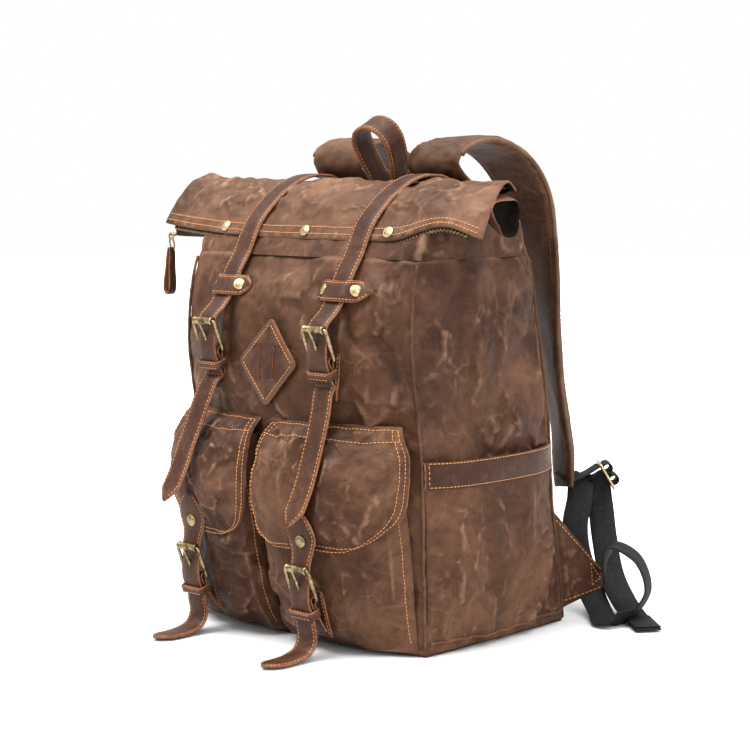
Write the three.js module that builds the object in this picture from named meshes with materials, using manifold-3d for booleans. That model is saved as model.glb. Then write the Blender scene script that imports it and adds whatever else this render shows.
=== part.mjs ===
// A waxed-canvas roll-top backpack with leather straps and antique-brass hardware.
// Millimetres, +Z up. The origin is the centre of the base's underside, the pockets face -Y,
// and +X is on the right of someone facing the pockets.

import * as THREE from 'three';
import { mergeVertices } from 'three/addons/utils/BufferGeometryUtils.js';
import Module from 'manifold-3d';

const wasm = await Module();
wasm.setup();

// ---------------------------------------------------------------- driving dimensions

const GAP = 0.4;                 // air between two pieces that touch on the real bag
const CANVAS = 2.4;              // lined waxed canvas
const BACK_PAD = 6;              // padded back panel
const LEATHER = 2.5;             // bridle leather of the straps
const STRAP_W = 24;              // closure and pocket straps
const STRAP_X = 72.5;            // each strap's distance from the centre plane
const BASE_T = 3;                // canvas base with its welt
const BOARD_T = 2;               // stiffener board that lies in the base
const FRONT_TOP = 355;           // where the front panel meets the roll-top
const BACK_TOP = 366.5;          // where the back panel meets the roll-top
const WEBBING_W = 25;            // black nylon webbing of the lower straps
const WEBBING_T = 1.8;
const SHOULDER_W = 66;           // padded shoulder straps
const SHOULDER_T = 10;

// The body's shape: each value against the height above the floor.
const halfWidth = profile([[0, 146], [80, 147], [200, 147], [300, 145], [370, 142]]);
const cornerFront = profile([[0, -97], [60, -100], [190, -105], [265, -115], [325, -111], [370, -97]]);
const cornerBack = profile([[0, 96], [60, 88], [112, 77], [170, 72], [216, 67], [300, 52], [370, 42]]);
const frontBulge = profile([[0, 20], [60, 34], [120, 42], [190, 43], [255, 31], [325, 17], [370, 2]]);
const sideBulge = profile([[0, 0], [60, 5], [150, 8], [300, 6], [370, 3]]);
const backBulge = profile([[0, 2], [100, 7], [300, 7], [370, 3]]);

// ---------------------------------------------------------------- materials

function material(colour, roughness, metalness = 0) {
  return new THREE.MeshStandardMaterial({ color: colour, roughness, metalness });
}

const canvas = material(0x6a4a38, 0.85);
const lining = material(0x3a2c24, 0.9);
const leather = material(0x4a3127, 0.6);
const webbingBlack = material(0x161618, 0.8);
const brass = material(0x8c7a4a, 0.4, 0.9);
const board = material(0x2c2622, 0.9);

// ---------------------------------------------------------------- curves and solids

// A smooth function through the knots [[at, value], ...], flat beyond its ends.
function profile(knots) {
  const slope = (i) => {
    const a = knots[Math.max(i - 1, 0)];
    const b = knots[Math.min(i + 1, knots.length - 1)];
    return (b[1] - a[1]) / (b[0] - a[0]);
  };
  return (at) => {
    if (at <= knots[0][0]) return knots[0][1];
    const last = knots.length - 1;
    if (at >= knots[last][0]) return knots[last][1];
    const i = knots.findIndex((knot) => knot[0] > at) - 1;
    const [x0, y0] = knots[i];
    const [x1, y1] = knots[i + 1];
    const step = x1 - x0;
    const t = (at - x0) / step;
    const h = t * t * (3 - 2 * t);
    return y0 + (y1 - y0) * h + step * t * (1 - t) * ((1 - t) * slope(i) - t * slope(i + 1));
  };
}

function vec(x, y, z) {
  return new THREE.Vector3(x, y, z);
}

// A smooth path through points given as [y, z] in the plane at x, or as [x, y, z].
function path(points, x = 0) {
  const through = points.map((p) => (p.length === 3 ? vec(...p) : vec(x, p[0], p[1])));
  return new THREE.CatmullRomCurve3(through, false, 'centripetal');
}

function indexed(positions, triangles) {
  const geometry = new THREE.BufferGeometry();
  geometry.setAttribute('position', new THREE.Float32BufferAttribute(positions, 3));
  geometry.setIndex(triangles);
  return facingOut(geometry);
}

// Turns the triangles round if the volume they enclose counts as negative.
function facingOut(geometry) {
  const at = geometry.attributes.position;
  const order = Array.from(geometry.index.array);
  const corner = [vec(0, 0, 0), vec(0, 0, 0), vec(0, 0, 0)];
  let volume = 0;
  for (let i = 0; i < order.length; i += 3) {
    corner.forEach((c, k) => c.fromBufferAttribute(at, order[i + k]));
    volume += corner[0].dot(corner[1].clone().cross(corner[2]));
  }
  if (volume < 0) {
    for (let i = 0; i < order.length; i += 3) [order[i], order[i + 1]] = [order[i + 1], order[i]];
    geometry.setIndex(order);
  }
  geometry.computeVertexNormals();
  return geometry;
}

// The closed solid between two surfaces over the same unit square.
function between(outer, inner, across, along) {
  const positions = [];
  for (const surface of [outer, inner]) {
    for (let j = 0; j <= along; j += 1) {
      for (let i = 0; i <= across; i += 1) positions.push(...surface(i / across, j / along).toArray());
    }
  }
  const layer = (across + 1) * (along + 1);
  const at = (side, i, j) => side * layer + j * (across + 1) + i;
  const triangles = [];
  const quad = (a, b, c, d) => triangles.push(a, b, c, a, c, d);
  for (let j = 0; j < along; j += 1) {
    for (let i = 0; i < across; i += 1) {
      quad(at(0, i, j), at(0, i + 1, j), at(0, i + 1, j + 1), at(0, i, j + 1));
      quad(at(1, i, j), at(1, i, j + 1), at(1, i + 1, j + 1), at(1, i + 1, j));
    }
  }
  for (let i = 0; i < across; i += 1) {
    quad(at(0, i, 0), at(1, i, 0), at(1, i + 1, 0), at(0, i + 1, 0));
    quad(at(0, i, along), at(0, i + 1, along), at(1, i + 1, along), at(1, i, along));
  }
  for (let j = 0; j < along; j += 1) {
    quad(at(0, 0, j), at(0, 0, j + 1), at(1, 0, j + 1), at(1, 0, j));
    quad(at(0, across, j), at(1, across, j), at(1, across, j + 1), at(0, across, j + 1));
  }
  return indexed(positions, triangles);
}

// A flat strap along a curve. side(t) is the direction of its width, width(t) its width.
function strap(curve, { width, thickness, side, steps }) {
  const wide = typeof width === 'function' ? width : () => width;
  const across = typeof side === 'function' ? side : () => side;
  const face = (sign) => (u, v) => {
    const along = curve.getTangentAt(v);
    const s = across(v).clone();
    s.addScaledVector(along, -s.dot(along)).normalize();
    const normal = along.clone().cross(s);
    return curve.getPointAt(v)
      .addScaledVector(s, (u - 0.5) * wide(v))
      .addScaledVector(normal, (sign * thickness) / 2);
  };
  return between(face(1), face(-1), 1, steps);
}

function welded(geometry) {
  const bare = geometry.clone();
  bare.deleteAttribute('normal');
  bare.deleteAttribute('uv');
  return mergeVertices(bare, 1e-4);
}

// The same piece on the bag's other side.
function onSide(geometry, sign) {
  const piece = welded(geometry);
  piece.scale(sign, 1, 1);
  return facingOut(piece);
}

function solid(geometry) {
  const merged = facingOut(welded(geometry));
  return new wasm.Manifold(new wasm.Mesh({
    numProp: 3,
    vertProperties: new Float32Array(merged.attributes.position.array),
    triVerts: new Uint32Array(merged.index.array),
  }));
}

function fromSolid(manifold) {
  const mesh = manifold.getMesh();
  return indexed(Array.from(mesh.vertProperties), Array.from(mesh.triVerts));
}

function box(width, depth, height, x, y, z, tilt = 0) {
  const geometry = new THREE.BoxGeometry(width, depth, height);
  geometry.rotateX(tilt);
  geometry.translate(x, y, z);
  return geometry;
}

function cut(geometry, ...tools) {
  return fromSolid(tools.reduce((left, tool) => left.subtract(solid(tool)), solid(geometry)));
}

function join(geometry, ...others) {
  return fromSolid(others.reduce((whole, other) => whole.add(solid(other)), solid(geometry)));
}

// An outline of [y, z] points pushed out along X, centred on x.
function sideProfile(shape, width, x) {
  const geometry = new THREE.ExtrudeGeometry(shape, { depth: width, bevelEnabled: false, curveSegments: 5 });
  geometry.applyMatrix4(new THREE.Matrix4().set(
    0, 0, 1, x - width / 2,
    1, 0, 0, 0,
    0, 1, 0, 0,
    0, 0, 0, 1,
  ));
  return geometry;
}

const bag = new THREE.Group();

function add(name, geometry, look) {
  const mesh = new THREE.Mesh(geometry, look);
  mesh.name = name;
  bag.add(mesh);
}

const SIDES = [['left', -1], ['right', 1]];

// ---------------------------------------------------------------- the body's surfaces

function frontY(x, z) {
  return cornerFront(z) - frontBulge(z) * (1 - (x / halfWidth(z)) ** 2);
}

function backY(x, z) {
  return cornerBack(z) + backBulge(z) * (1 - (x / halfWidth(z)) ** 2);
}

function sideX(y, z) {
  const middle = (cornerFront(z) + cornerBack(z)) / 2;
  const half = (cornerBack(z) - cornerFront(z)) / 2;
  return halfWidth(z) + sideBulge(z) * (1 - ((y - middle) / half) ** 2);
}

function mix(a, b, t) {
  return a + (b - a) * t;
}

const PANEL_FOOT = BASE_T + GAP;

function baseOutline(inset, insetBack) {
  const points = [];
  const half = halfWidth(0) - inset;
  const steps = 8;
  for (let i = 0; i <= steps; i += 1) {
    const x = mix(-half, half, i / steps);
    points.push(new THREE.Vector2(x, frontY(x, 0) + inset));
  }
  for (let i = 0; i <= steps; i += 1) {
    const x = mix(half, -half, i / steps);
    points.push(new THREE.Vector2(x, backY(x, 0) - insetBack));
  }
  return new THREE.Shape(points);
}

function plate(shape, thickness, z) {
  const geometry = new THREE.ExtrudeGeometry(shape, { depth: thickness, bevelEnabled: false });
  geometry.translate(0, 0, z);
  return geometry;
}

function frontPanel() {
  const at = (inward) => (u, v) => {
    const z = mix(PANEL_FOOT, FRONT_TOP, v);
    const x = mix(-1, 1, u) * halfWidth(z);
    return vec(x, frontY(x, z) + inward, z);
  };
  return between(at(0), at(CANVAS), 10, 10);
}

function backPanel() {
  const at = (inward) => (u, v) => {
    const z = mix(PANEL_FOOT, BACK_TOP, v);
    const x = mix(-1, 1, u) * halfWidth(z);
    return vec(x, backY(x, z) - inward, z);
  };
  return between(at(0), at(BACK_PAD), 8, 10);
}

function sidePanel(sign) {
  const at = (inward) => (u, v) => {
    const z = mix(PANEL_FOOT, FRONT_TOP, v);
    const y = mix(cornerFront(z) + CANVAS + GAP, cornerBack(z) - BACK_PAD - GAP, u);
    return vec(sign * (sideX(y, z) - inward), y, z);
  };
  return between(at(0), at(CANVAS), 6, 10);
}

// ---------------------------------------------------------------- roll-top

// The collar narrows from the body's outline to a flat fold under the crest. Each half is
// one sheet: t runs up the sheet, u from one end of the roll to the other.
const collarHalf = profile([[0, 142], [0.35, 158], [0.7, 180], [1, 190]]);
const collarFront = path([[-97, 357.6], [-86, 377], [-65, 393], [-42, 402.5], [-16.5, 408.5]]);
const collarBack = path([[43.5, 369.6], [27, 390], [8, 404], [-11.5, 411.5]]);
const COLLAR_SEAM_Y = [-28, -45];        // the end seam's depth, at the bottom and at the crest
const COLLAR_SEAM_Z = [363, 389];

function collarSheet(curve, thickness, seamGap) {
  const at = (inward) => (u, t) => {
    const across = mix(-1, 1, u);
    const middle = curve.getPointAt(t);
    const end = Math.abs(across) ** mix(9, 4, t);
    const seam = vec(0, mix(...COLLAR_SEAM_Y, t) + seamGap, mix(...COLLAR_SEAM_Z, t));
    const shrink = 1 - inward / collarHalf(t);
    const point = middle.lerp(seam, end);
    const tangent = curve.getTangentAt(t);
    const into = vec(0, -tangent.z, tangent.y).multiplyScalar(Math.sign(seamGap) * inward * (1 - end));
    return vec(across * collarHalf(t) * shrink, point.y, point.z).add(into);
  };
  return between(at(0), at(thickness), 16, 5);
}

// The flap hangs from the crest to the zipped hem: its section at the middle and at the ends.
const flapMiddle = path([[-12.4, 417.6], [-30, 416.5], [-48, 412.5], [-66, 404], [-82, 392], [-95, 379], [-103, 366.5]]);
const flapEnd = path([[-38, 400], [-49, 397], [-60, 392], [-72, 385], [-84, 377], [-93, 371], [-100, 364.5]]);
const FLAP_T = 3.4;
const FLAP_HALF = [194, 205];

function flapPoint(across, t, inward) {
  const point = flapMiddle.getPointAt(t).lerp(flapEnd.getPointAt(t), Math.abs(across) ** 5);
  const tangent = flapMiddle.getTangentAt(t);
  return vec(across * mix(...FLAP_HALF, t), point.y - tangent.z * inward, point.z + tangent.y * inward);
}

function rollFlap() {
  const at = (inward) => (u, t) => flapPoint(mix(-1, 1, u), t, inward);
  return between(at(0), at(FLAP_T), 16, 7);
}

const ZIP_H = 4.5;
const ZIP_T = 3;
const ZIP_HALF = 0.95;

function zipChain() {
  const face = (offset) => (u, v) => {
    const hem = flapPoint(mix(-ZIP_HALF, ZIP_HALF, u), 1, 0);
    return vec(hem.x, hem.y + offset, hem.z - 3.2 - v * ZIP_H);
  };
  return between(face(0.4), face(0.4 + ZIP_T), 16, 1);
}

const SLIDER_X = -188;
const SLIDER_Y = -99;
const SLIDER_Z = 351.5;

function zipSlider() {
  return box(9, 8, 4, SLIDER_X, SLIDER_Y, SLIDER_Z);
}

// A folded strip of leather: narrow at the ring and wider at its foot.
function zipPull(x, y, top, length) {
  const curve = path([[y, top], [y - 1.5, top - length / 2], [y, top - length]], x);
  return strap(curve, { width: (t) => 7 + 3 * t, thickness: 4, side: vec(0.8, -0.6, 0), steps: 4 });
}

// ---------------------------------------------------------------- buckles

// A roller buckle, built on the line between its two bars. Every number is in the frame's
// own plane: along it from the lower bar to the roller, and out of it towards the viewer.
const BUCKLE = { width: 33, pitch: 30, bar: 3.2, roller: 3.6, bore: 2.5, eye: 4.3, eyeBore: 2.5 };

class Buckle {
  constructor(x, rollerY, rollerZ, lean) {
    this.x = x;
    this.along = vec(0, -Math.sin(lean), Math.cos(lean));
    this.out = vec(0, -Math.cos(lean), -Math.sin(lean));
    this.centre = vec(x, rollerY, rollerZ).addScaledVector(this.along, -BUCKLE.pitch / 2);
    this.tilt = lean;
  }

  // A point in the buckle's plane as world [y, z].
  at(along, out) {
    const p = this.centre.clone().addScaledVector(this.along, along).addScaledVector(this.out, out);
    return [p.y, p.z];
  }

  place(geometry) {
    const across = this.along.clone().cross(this.out);
    geometry.applyMatrix4(new THREE.Matrix4().makeBasis(across, this.along, this.out).setPosition(this.centre));
    return geometry;
  }

  frame() {
    const { width, pitch, bar } = BUCKLE;
    const w = width / 2;
    const h = (pitch + bar) / 2;
    const bevel = 3;
    const outline = [[-w + bevel, -h], [w - bevel, -h], [w, -h + bevel], [w, h - bevel], [w - bevel, h],
      [-w + bevel, h], [-w, h - bevel], [-w, -h + bevel]];
    const shape = new THREE.Shape(outline.map((p) => new THREE.Vector2(...p)));
    const hole = [[-w + bar, -h + bar], [-w + bar, h - bar], [w - bar, h - bar], [w - bar, -h + bar]];
    shape.holes.push(new THREE.Path(hole.map((p) => new THREE.Vector2(...p))));
    const geometry = new THREE.ExtrudeGeometry(shape, { depth: bar, bevelEnabled: false });
    geometry.translate(0, 0, -bar / 2);
    return this.place(geometry);
  }

  roller() {
    const half = (BUCKLE.width - 2 * BUCKLE.bar) / 2 - 0.7;
    const { roller, bore } = BUCKLE;
    const ring = [[bore, -half], [roller, -half], [roller, half], [bore, half], [bore, -half]];
    const geometry = new THREE.LatheGeometry(ring.map((p) => new THREE.Vector2(...p)), 12);
    geometry.rotateZ(Math.PI / 2);
    geometry.translate(0, BUCKLE.pitch / 2, 0);
    return this.place(geometry);
  }

  // The tongue's eye turns on the lower bar, and its prong rests on the roller's front.
  tongue() {
    const low = -BUCKLE.pitch / 2;
    const shape = new THREE.Shape();
    shape.absarc(low, 0, BUCKLE.eye - 0.6, 0.85, Math.PI * 2 + 0.15, false);
    shape.lineTo(8, 2.4);
    shape.lineTo(15, 4.1);
    shape.lineTo(19.5, 3.4);
    shape.lineTo(19.5, 5.4);
    shape.lineTo(14, 6.3);
    shape.lineTo(7, 4.9);
    const bore = new THREE.Path();
    bore.absarc(low, 0, BUCKLE.eyeBore, 0, Math.PI * 2, true);
    shape.holes.push(bore);
    const geometry = new THREE.ExtrudeGeometry(shape, { depth: 3, bevelEnabled: false, curveSegments: 8 });
    geometry.applyMatrix4(new THREE.Matrix4().set(0, 0, 1, -1.5, 1, 0, 0, 0, 0, 1, 0, 0, 0, 0, 0, 1));
    return this.place(geometry);
  }

  // The chape folds round the lower bar, and its loop holds the strap's end down.
  chape(tail) {
    const eye = new THREE.Shape();
    eye.absarc(0, 0, BUCKLE.eye, 0, Math.PI * 2, false);
    const bore = new THREE.Path();
    bore.absarc(0, 0, BUCKLE.eyeBore, 0, Math.PI * 2, true);
    eye.holes.push(bore);
    const [barY, barZ] = this.at(-BUCKLE.pitch / 2, 0);
    const roundBar = sideProfile(eye, STRAP_W, this.x);
    roundBar.translate(0, barY, barZ);
    const [startY, startZ] = this.at(-BUCKLE.pitch / 2 - 3.2, -0.8);
    const leaf = strap(path([[startY, startZ], ...tail], this.x), {
      width: STRAP_W, thickness: 3.2, side: vec(1, 0, 0), steps: 5,
    });
    const ring = new THREE.Shape();
    ring.moveTo(-15.5, -3.4).lineTo(15.5, -3.4).lineTo(15.5, 12).lineTo(-15.5, 12).closePath();
    const inside = new THREE.Path();
    inside.moveTo(-13.3, 0).lineTo(-13.3, 10).lineTo(13.3, 10).lineTo(13.3, 0).closePath();
    ring.holes.push(inside);
    const loop = new THREE.ExtrudeGeometry(ring, { depth: 8, bevelEnabled: false });
    loop.applyMatrix4(new THREE.Matrix4().set(1, 0, 0, 0, 0, 0, 1, -30, 0, 1, 0, 0, 0, 0, 0, 1));
    this.place(loop);
    const tongueRoom = box(5, 14, 11, this.x, barY, barZ + 1);
    return cut(join(roundBar, leaf, loop), tongueRoom);
  }

  // The strap's way through the buckle: behind the roller, out over the bar, through the loop.
  strapRoute() {
    return [this.at(15, -5.4), this.at(5, -1.6), this.at(-5, 3.6), this.at(-15, 6.6), this.at(-30.6, 6)];
  }

  // The oblong hole that the tongue works in.
  tongueSlot() {
    const [y, z] = this.at(-1.5, 2);
    return box(4.6, 16, 20, this.x, y, z, this.tilt);
  }
}

// ---------------------------------------------------------------- closure straps

function closureBuckle(x) {
  return new Buckle(x, -162, 290, 0.375);
}

const CLOSURE_REAR = [[52, 343], [50.8, 368], [32, 394], [9, 411], [-11.7, 419.4]];
const CLOSURE_FRONT = [[-12.3, 419.4], [-30, 418.4], [-49, 414.4], [-67.4, 405.4], [-83.4, 393.4],
  [-96.6, 380.2], [-105, 366.5], [-112.5, 352], [-123, 337], [-131, 322], [-142, 306]];
const TAIL = [[-152.6, 234], [-162, 216], [-171, 195], [-179.5, 178], [-185.5, 163], [-190, 148], [-196, 135],
  [-202, 122]];

function closureStrapRear(x) {
  return strap(path(CLOSURE_REAR, x), { width: STRAP_W, thickness: LEATHER, side: vec(1, 0, 0), steps: 10 });
}

function closureStrapFront(x) {
  const buckle = closureBuckle(x);
  const curve = path([...CLOSURE_FRONT, ...buckle.strapRoute()], x);
  const whole = strap(curve, { width: STRAP_W, thickness: LEATHER, side: vec(1, 0, 0), steps: 26 });
  return cut(whole, buckle.tongueSlot());
}

function closureStrapTail(x) {
  const [y, z] = closureBuckle(x).at(-34, 6);
  return strap(path([[y, z], ...TAIL], x), {
    width: (t) => STRAP_W * Math.min(1, 0.12 + (1 - t) * 7),
    thickness: LEATHER,
    side: vec(1, 0, 0),
    steps: 14,
  });
}

// A short leather bridge over the strap, riveted at one end and press-studded at the other.
function strapKeeper(x, sign) {
  const offsets = [[-21, 4.4], [-15.5, 3.6], [-13, 0.4], [0, 0], [13, 0.4], [15.5, 4.6], [21, 7.6]];
  const points = offsets.map(([dx, dy]) => [x + sign * dx, -135.4 + dy, 322.4]);
  return strap(path(points), { width: 20, thickness: 2, side: vec(0, 0.5, 0.866), steps: 12 });
}

// ---------------------------------------------------------------- front pockets

const POCKET_X = [4, 141];
const POCKET_TOP = 195;
const pocketDepth = profile([[3, 24], [20, 29], [50, 34], [80, 34], [109, 33], [150, 36], [180, 23], [196, 12]]);
const flapLift = profile([[95, 34.5], [109, 35], [130, 38.5], [150, 39.5], [175, 33], [188, 25], [196, 15.5], [206, 0]]);
const FLAP_TOP = 206;
const FLAP_BOTTOM = 95;
const POCKET_FLAP_X = [6, 140];
const flapWidth = profile([[0, 0.94], [0.35, 1], [0.6, 0.94], [0.8, 0.74], [0.93, 0.46], [1, 0.24]]);

// The pocket's swell across its width: full near the middle, less at the two sides.
function swell(x) {
  const u = (Math.abs(x) - POCKET_X[0]) / (POCKET_X[1] - POCKET_X[0]);
  return u < 0.45 ? 1 - 0.35 * (1 - u / 0.45) ** 3 : 1 - 0.66 * ((u - 0.45) / 0.55) ** 2.6;
}

function pocketSolid(sign, inset, top, backInset) {
  const foot = PANEL_FOOT + inset;
  const spread = (u) => sign * mix(POCKET_X[0] + inset, POCKET_X[1] - inset, u);
  const face = (u, v) => {
    const x = spread(u);
    const z = mix(foot, top, v);
    return vec(x, frontY(x, z) - pocketDepth(z) * swell(x) + inset, z);
  };
  const back = (u, v) => {
    const x = spread(u);
    const z = mix(foot, top, v);
    return vec(x, frontY(x, z) - backInset, z);
  };
  return between(face, back, 8, 9);
}

function pocket(sign) {
  return cut(pocketSolid(sign, 0, POCKET_TOP, 1.2), pocketSolid(sign, CANVAS, POCKET_TOP + 6, -6));
}

function pocketFlap(sign) {
  const middle = (POCKET_FLAP_X[0] + POCKET_FLAP_X[1]) / 2;
  const half = (POCKET_FLAP_X[1] - POCKET_FLAP_X[0]) / 2;
  const at = (outward) => (u, v) => {
    const x = sign * (middle + mix(-1, 1, u) * half * flapWidth(v));
    const z = mix(FLAP_TOP, FLAP_BOTTOM, v);
    return vec(x, frontY(x, z) - swell(x) * flapLift(z) - 0.9 - outward, z);
  };
  return between(at(CANVAS), at(0), 8, 10);
}

function pocketBuckle(x) {
  return new Buckle(x, -184, 82, 0.355);
}

// A pear-shaped tab riveted to the flap, running on as the strap and curling on the floor.
function pocketStrap(x) {
  const buckle = pocketBuckle(x);
  const route = [[-181.2, 131], [-179.6, 121], [-176.8, 109], [-176.2, 97], ...buckle.strapRoute(),
    [-173, 30], [-171, 18], [-176, 8.5], [-187, 4], [-202, 2.6], [-226, 3.6]];
  const wide = profile([[0, 14], [0.05, 29], [0.13, 34], [0.2, 27], [0.25, STRAP_W], [0.92, STRAP_W], [1, 5]]);
  const whole = strap(path(route, x), { width: wide, thickness: LEATHER, side: vec(1, 0, 0), steps: 30 });
  return cut(whole, buckle.tongueSlot());
}

// ---------------------------------------------------------------- side pockets

const SIDE_POCKET_TOP = 172;
const SIDE_BAND = [149, 174.5];
const sideStand = profile([[3, 1], [60, 4], [150, 8.5], [175, 9.5]]);

function sidePocketY(z, u, inset) {
  return mix(cornerFront(z) + 9 + inset, cornerBack(z) - 7 - inset, u);
}

function sidePocketSolid(sign, inset, foot, top, backInset) {
  const face = (u, v) => {
    const z = mix(foot, top, v);
    const y = sidePocketY(z, u, inset);
    const round = 1 - Math.abs(mix(-1, 1, u)) ** 6 * 0.5;
    return vec(sign * (sideX(y, z) + CANVAS + sideStand(z) * round - inset), y, z);
  };
  const back = (u, v) => {
    const z = mix(foot, top, v);
    const y = sidePocketY(z, u, inset);
    return vec(sign * (sideX(y, z) + backInset), y, z);
  };
  return between(face, back, 6, 6);
}

function sidePocket(sign) {
  const shell = sidePocketSolid(sign, 0, PANEL_FOOT, SIDE_POCKET_TOP, 1);
  return cut(shell, sidePocketSolid(sign, 2, PANEL_FOOT + 30, SIDE_POCKET_TOP + 5, -4));
}

function sideBand(sign) {
  const at = (outward) => (u, v) => {
    const z = mix(...SIDE_BAND, v);
    const y = sidePocketY(z, u, 0);
    const round = 1 - Math.abs(mix(-1, 1, u)) ** 6 * 0.5;
    return vec(sign * (sideX(y, z) + CANVAS + sideStand(z) * round + GAP + outward), y, z);
  };
  return between(at(2.2), at(0), 6, 1);
}

// ---------------------------------------------------------------- small leather pieces

// A diamond patch with two slits that a cord or strap can be laced through.
function lashTab() {
  const centreZ = 255.5;
  const halfW = 37;
  const halfH = 40;
  const shape = new THREE.Shape();
  shape.moveTo(0, -halfH).lineTo(halfW, 0).lineTo(0, halfH).lineTo(-halfW, 0).closePath();
  const patch = new THREE.ExtrudeGeometry(shape, { depth: 2.4, bevelEnabled: false });
  const geometry = cut(patch, box(2.4, 32, 9, -9, 0, 0), box(2.4, 32, 9, 9, 0, 0));
  geometry.rotateX(Math.PI / 2);
  const lean = Math.atan2(frontY(0, centreZ + halfH) - frontY(0, centreZ - halfH), 2 * halfH);
  geometry.rotateX(-lean);
  geometry.translate(0, frontY(0, centreZ) - 2.6, centreZ);
  return geometry;
}

// A triangle of doubled leather sewn into the back corner. It splays out to hold the webbing.
const ANCHOR_TIP = vec(163, 133, 37);

function lowerAnchor(sign) {
  const at = (outward) => (u, v) => {
    const z = mix(112, 10, v);
    const root = vec(143, cornerBack(z) + 0.6, z);
    const tip = ANCHOR_TIP.clone().add(vec(0, 0, mix(7, -7, v)));
    const point = root.lerp(tip, u);
    return vec(sign * (point.x + outward * 0.9), point.y - outward * 0.42 * u, point.z);
  };
  return between(at(4), at(0), 5, 4);
}

// ---------------------------------------------------------------- shoulder straps

const TOP_ANCHOR = [[59.5, 364], [56, 380], [39, 402], [19, 417], [8.5, 425.5], [4.5, 431]];
const SHOULDER = [[3.4, 433.2], [2.4, 438.5], [7, 444], [24, 448], [50, 446], [82, 430], [110, 402], [123, 365],
  [132, 320], [146, 230], [156, 165], [151, 117]];
const SHOULDER_X = 75;

function shoulderTop(sign) {
  return strap(path(TOP_ANCHOR, sign * SHOULDER_X), {
    width: SHOULDER_W, thickness: SHOULDER_T, side: vec(1, 0, 0), steps: 8,
  });
}

function shoulderStrap(sign) {
  const points = SHOULDER.map(([y, z], i) => [sign * (SHOULDER_X + Math.max(0, i - 8) * 9), y, z]);
  return strap(path(points), {
    width: (t) => SHOULDER_W * (1 - 0.5 * Math.max(0, (t - 0.8) / 0.2) ** 1.5),
    thickness: SHOULDER_T,
    side: vec(1, 0, 0),
    steps: 22,
  });
}

// The webbing leaves the anchor's tip, curls out once, climbs to the slide and hangs back down.
const WEBBING = [[170.8, 128.2, 41], [178, 123, 60], [186, 120, 74], [201, 141, 61], [212, 143, 32], [206, 128, 11],
  [194, 105, 3.4], [172, 124, 6], [149, 141, 17], [136, 142, 40], [127, 143, 62], [121, 148, 84],
  [124, 166, 102], [121, 181, 124], [126, 193, 121], [132, 196, 100], [145, 188, 70], [166, 176, 36], [194, 158, 14],
  [221, 139, 4.6], [250, 114, 3]];

function webbing(sign) {
  const toViewer = vec(0.69, -0.72, 0);
  const acrossView = vec(-0.72, -0.69, 0);
  const turn = profile([[0, 0], [0.22, 0], [0.33, 1], [1, 1]]);
  const curve = path(WEBBING);
  const geometry = strap(curve, {
    width: WEBBING_W,
    thickness: WEBBING_T,
    side: (t) => toViewer.clone().lerp(acrossView, turn(t)),
    steps: 60,
  });
  return onSide(geometry, sign);
}

// A brass three-bar slide that the webbing is threaded through.
function strapSlider(sign) {
  const shape = new THREE.Shape();
  shape.moveTo(-17, -15).lineTo(17, -15).lineTo(17, 15).lineTo(-17, 15).closePath();
  const blank = new THREE.ExtrudeGeometry(shape, { depth: 2.6, bevelEnabled: false });
  const geometry = cut(blank, box(28, 10.8, 9, 0, -7, 0), box(28, 10.8, 9, 0, 7, 0));
  const wide = vec(0.69, -0.72, 0);
  const down = vec(0.36, 0.35, -0.86).normalize();
  const out = wide.clone().cross(down);
  geometry.applyMatrix4(new THREE.Matrix4().makeBasis(wide, down, out).setPosition(vec(134, 207, 122)));
  return onSide(geometry, sign);
}

// ---------------------------------------------------------------- grab handle

// A leather strip stands as a tall loop and leans forward. Its ends turn to lie on the back.
function grabHandle() {
  const lean = 0.47;
  const up = (x, l) => [x, 18 - Math.sin(lean) * l, 409 + Math.cos(lean) * l];
  const rise = [up(14, 12), up(17, 27), up(21, 44), up(22, 57), up(17, 69), up(8, 74.5)];
  const half = [[17, 52, 373], [17, 47, 388], [15.5, 34, 406], ...rise];
  const mirrored = half.map(([x, y, z]) => [-x, y, z]).reverse();
  const curve = path([...half, up(0, 76), ...mirrored]);
  const flat = vec(1, 0, 0);
  const leaning = vec(0, -Math.cos(lean), -Math.sin(lean));
  const turn = profile([[0, 0], [0.07, 0.05], [0.2, 1], [0.5, 1]]);
  return strap(curve, {
    width: 27,
    thickness: 3,
    side: (t) => {
      const stand = turn(Math.min(t, 1 - t));
      return flat.clone().multiplyScalar(t < 0.5 ? 1 - stand : stand - 1).addScaledVector(leaning, stand);
    },
    steps: 44,
  });
}

// ---------------------------------------------------------------- the whole bag

add('base_panel', plate(baseOutline(0, 0), BASE_T, 0), canvas);
add('bottom_board', plate(baseOutline(CANVAS + 3, BACK_PAD + 3), BOARD_T, PANEL_FOOT), board);
add('front_panel', frontPanel(), canvas);
add('back_panel', backPanel(), canvas);
add('collar_front', collarSheet(collarFront, CANVAS, -0.6), lining);
add('collar_rear', collarSheet(collarBack, CANVAS, 0.6), canvas);
add('roll_flap', rollFlap(), canvas);
add('zip_chain', zipChain(), brass);
add('zip_slider', zipSlider(), brass);
add('zip_pull', zipPull(SLIDER_X, SLIDER_Y - 1, SLIDER_Z - 6.3, 44), leather);
add('lash_tab', lashTab(), leather);
add('grab_handle', grabHandle(), leather);
add('rear_zip_slider', box(6, 3.4, 9, 128, backY(128, 140) + 3.3, 140), brass);
add('rear_zip_pull', box(5, 1.6, 20, 128, backY(128, 140) + 6.8, 128), brass);

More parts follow.
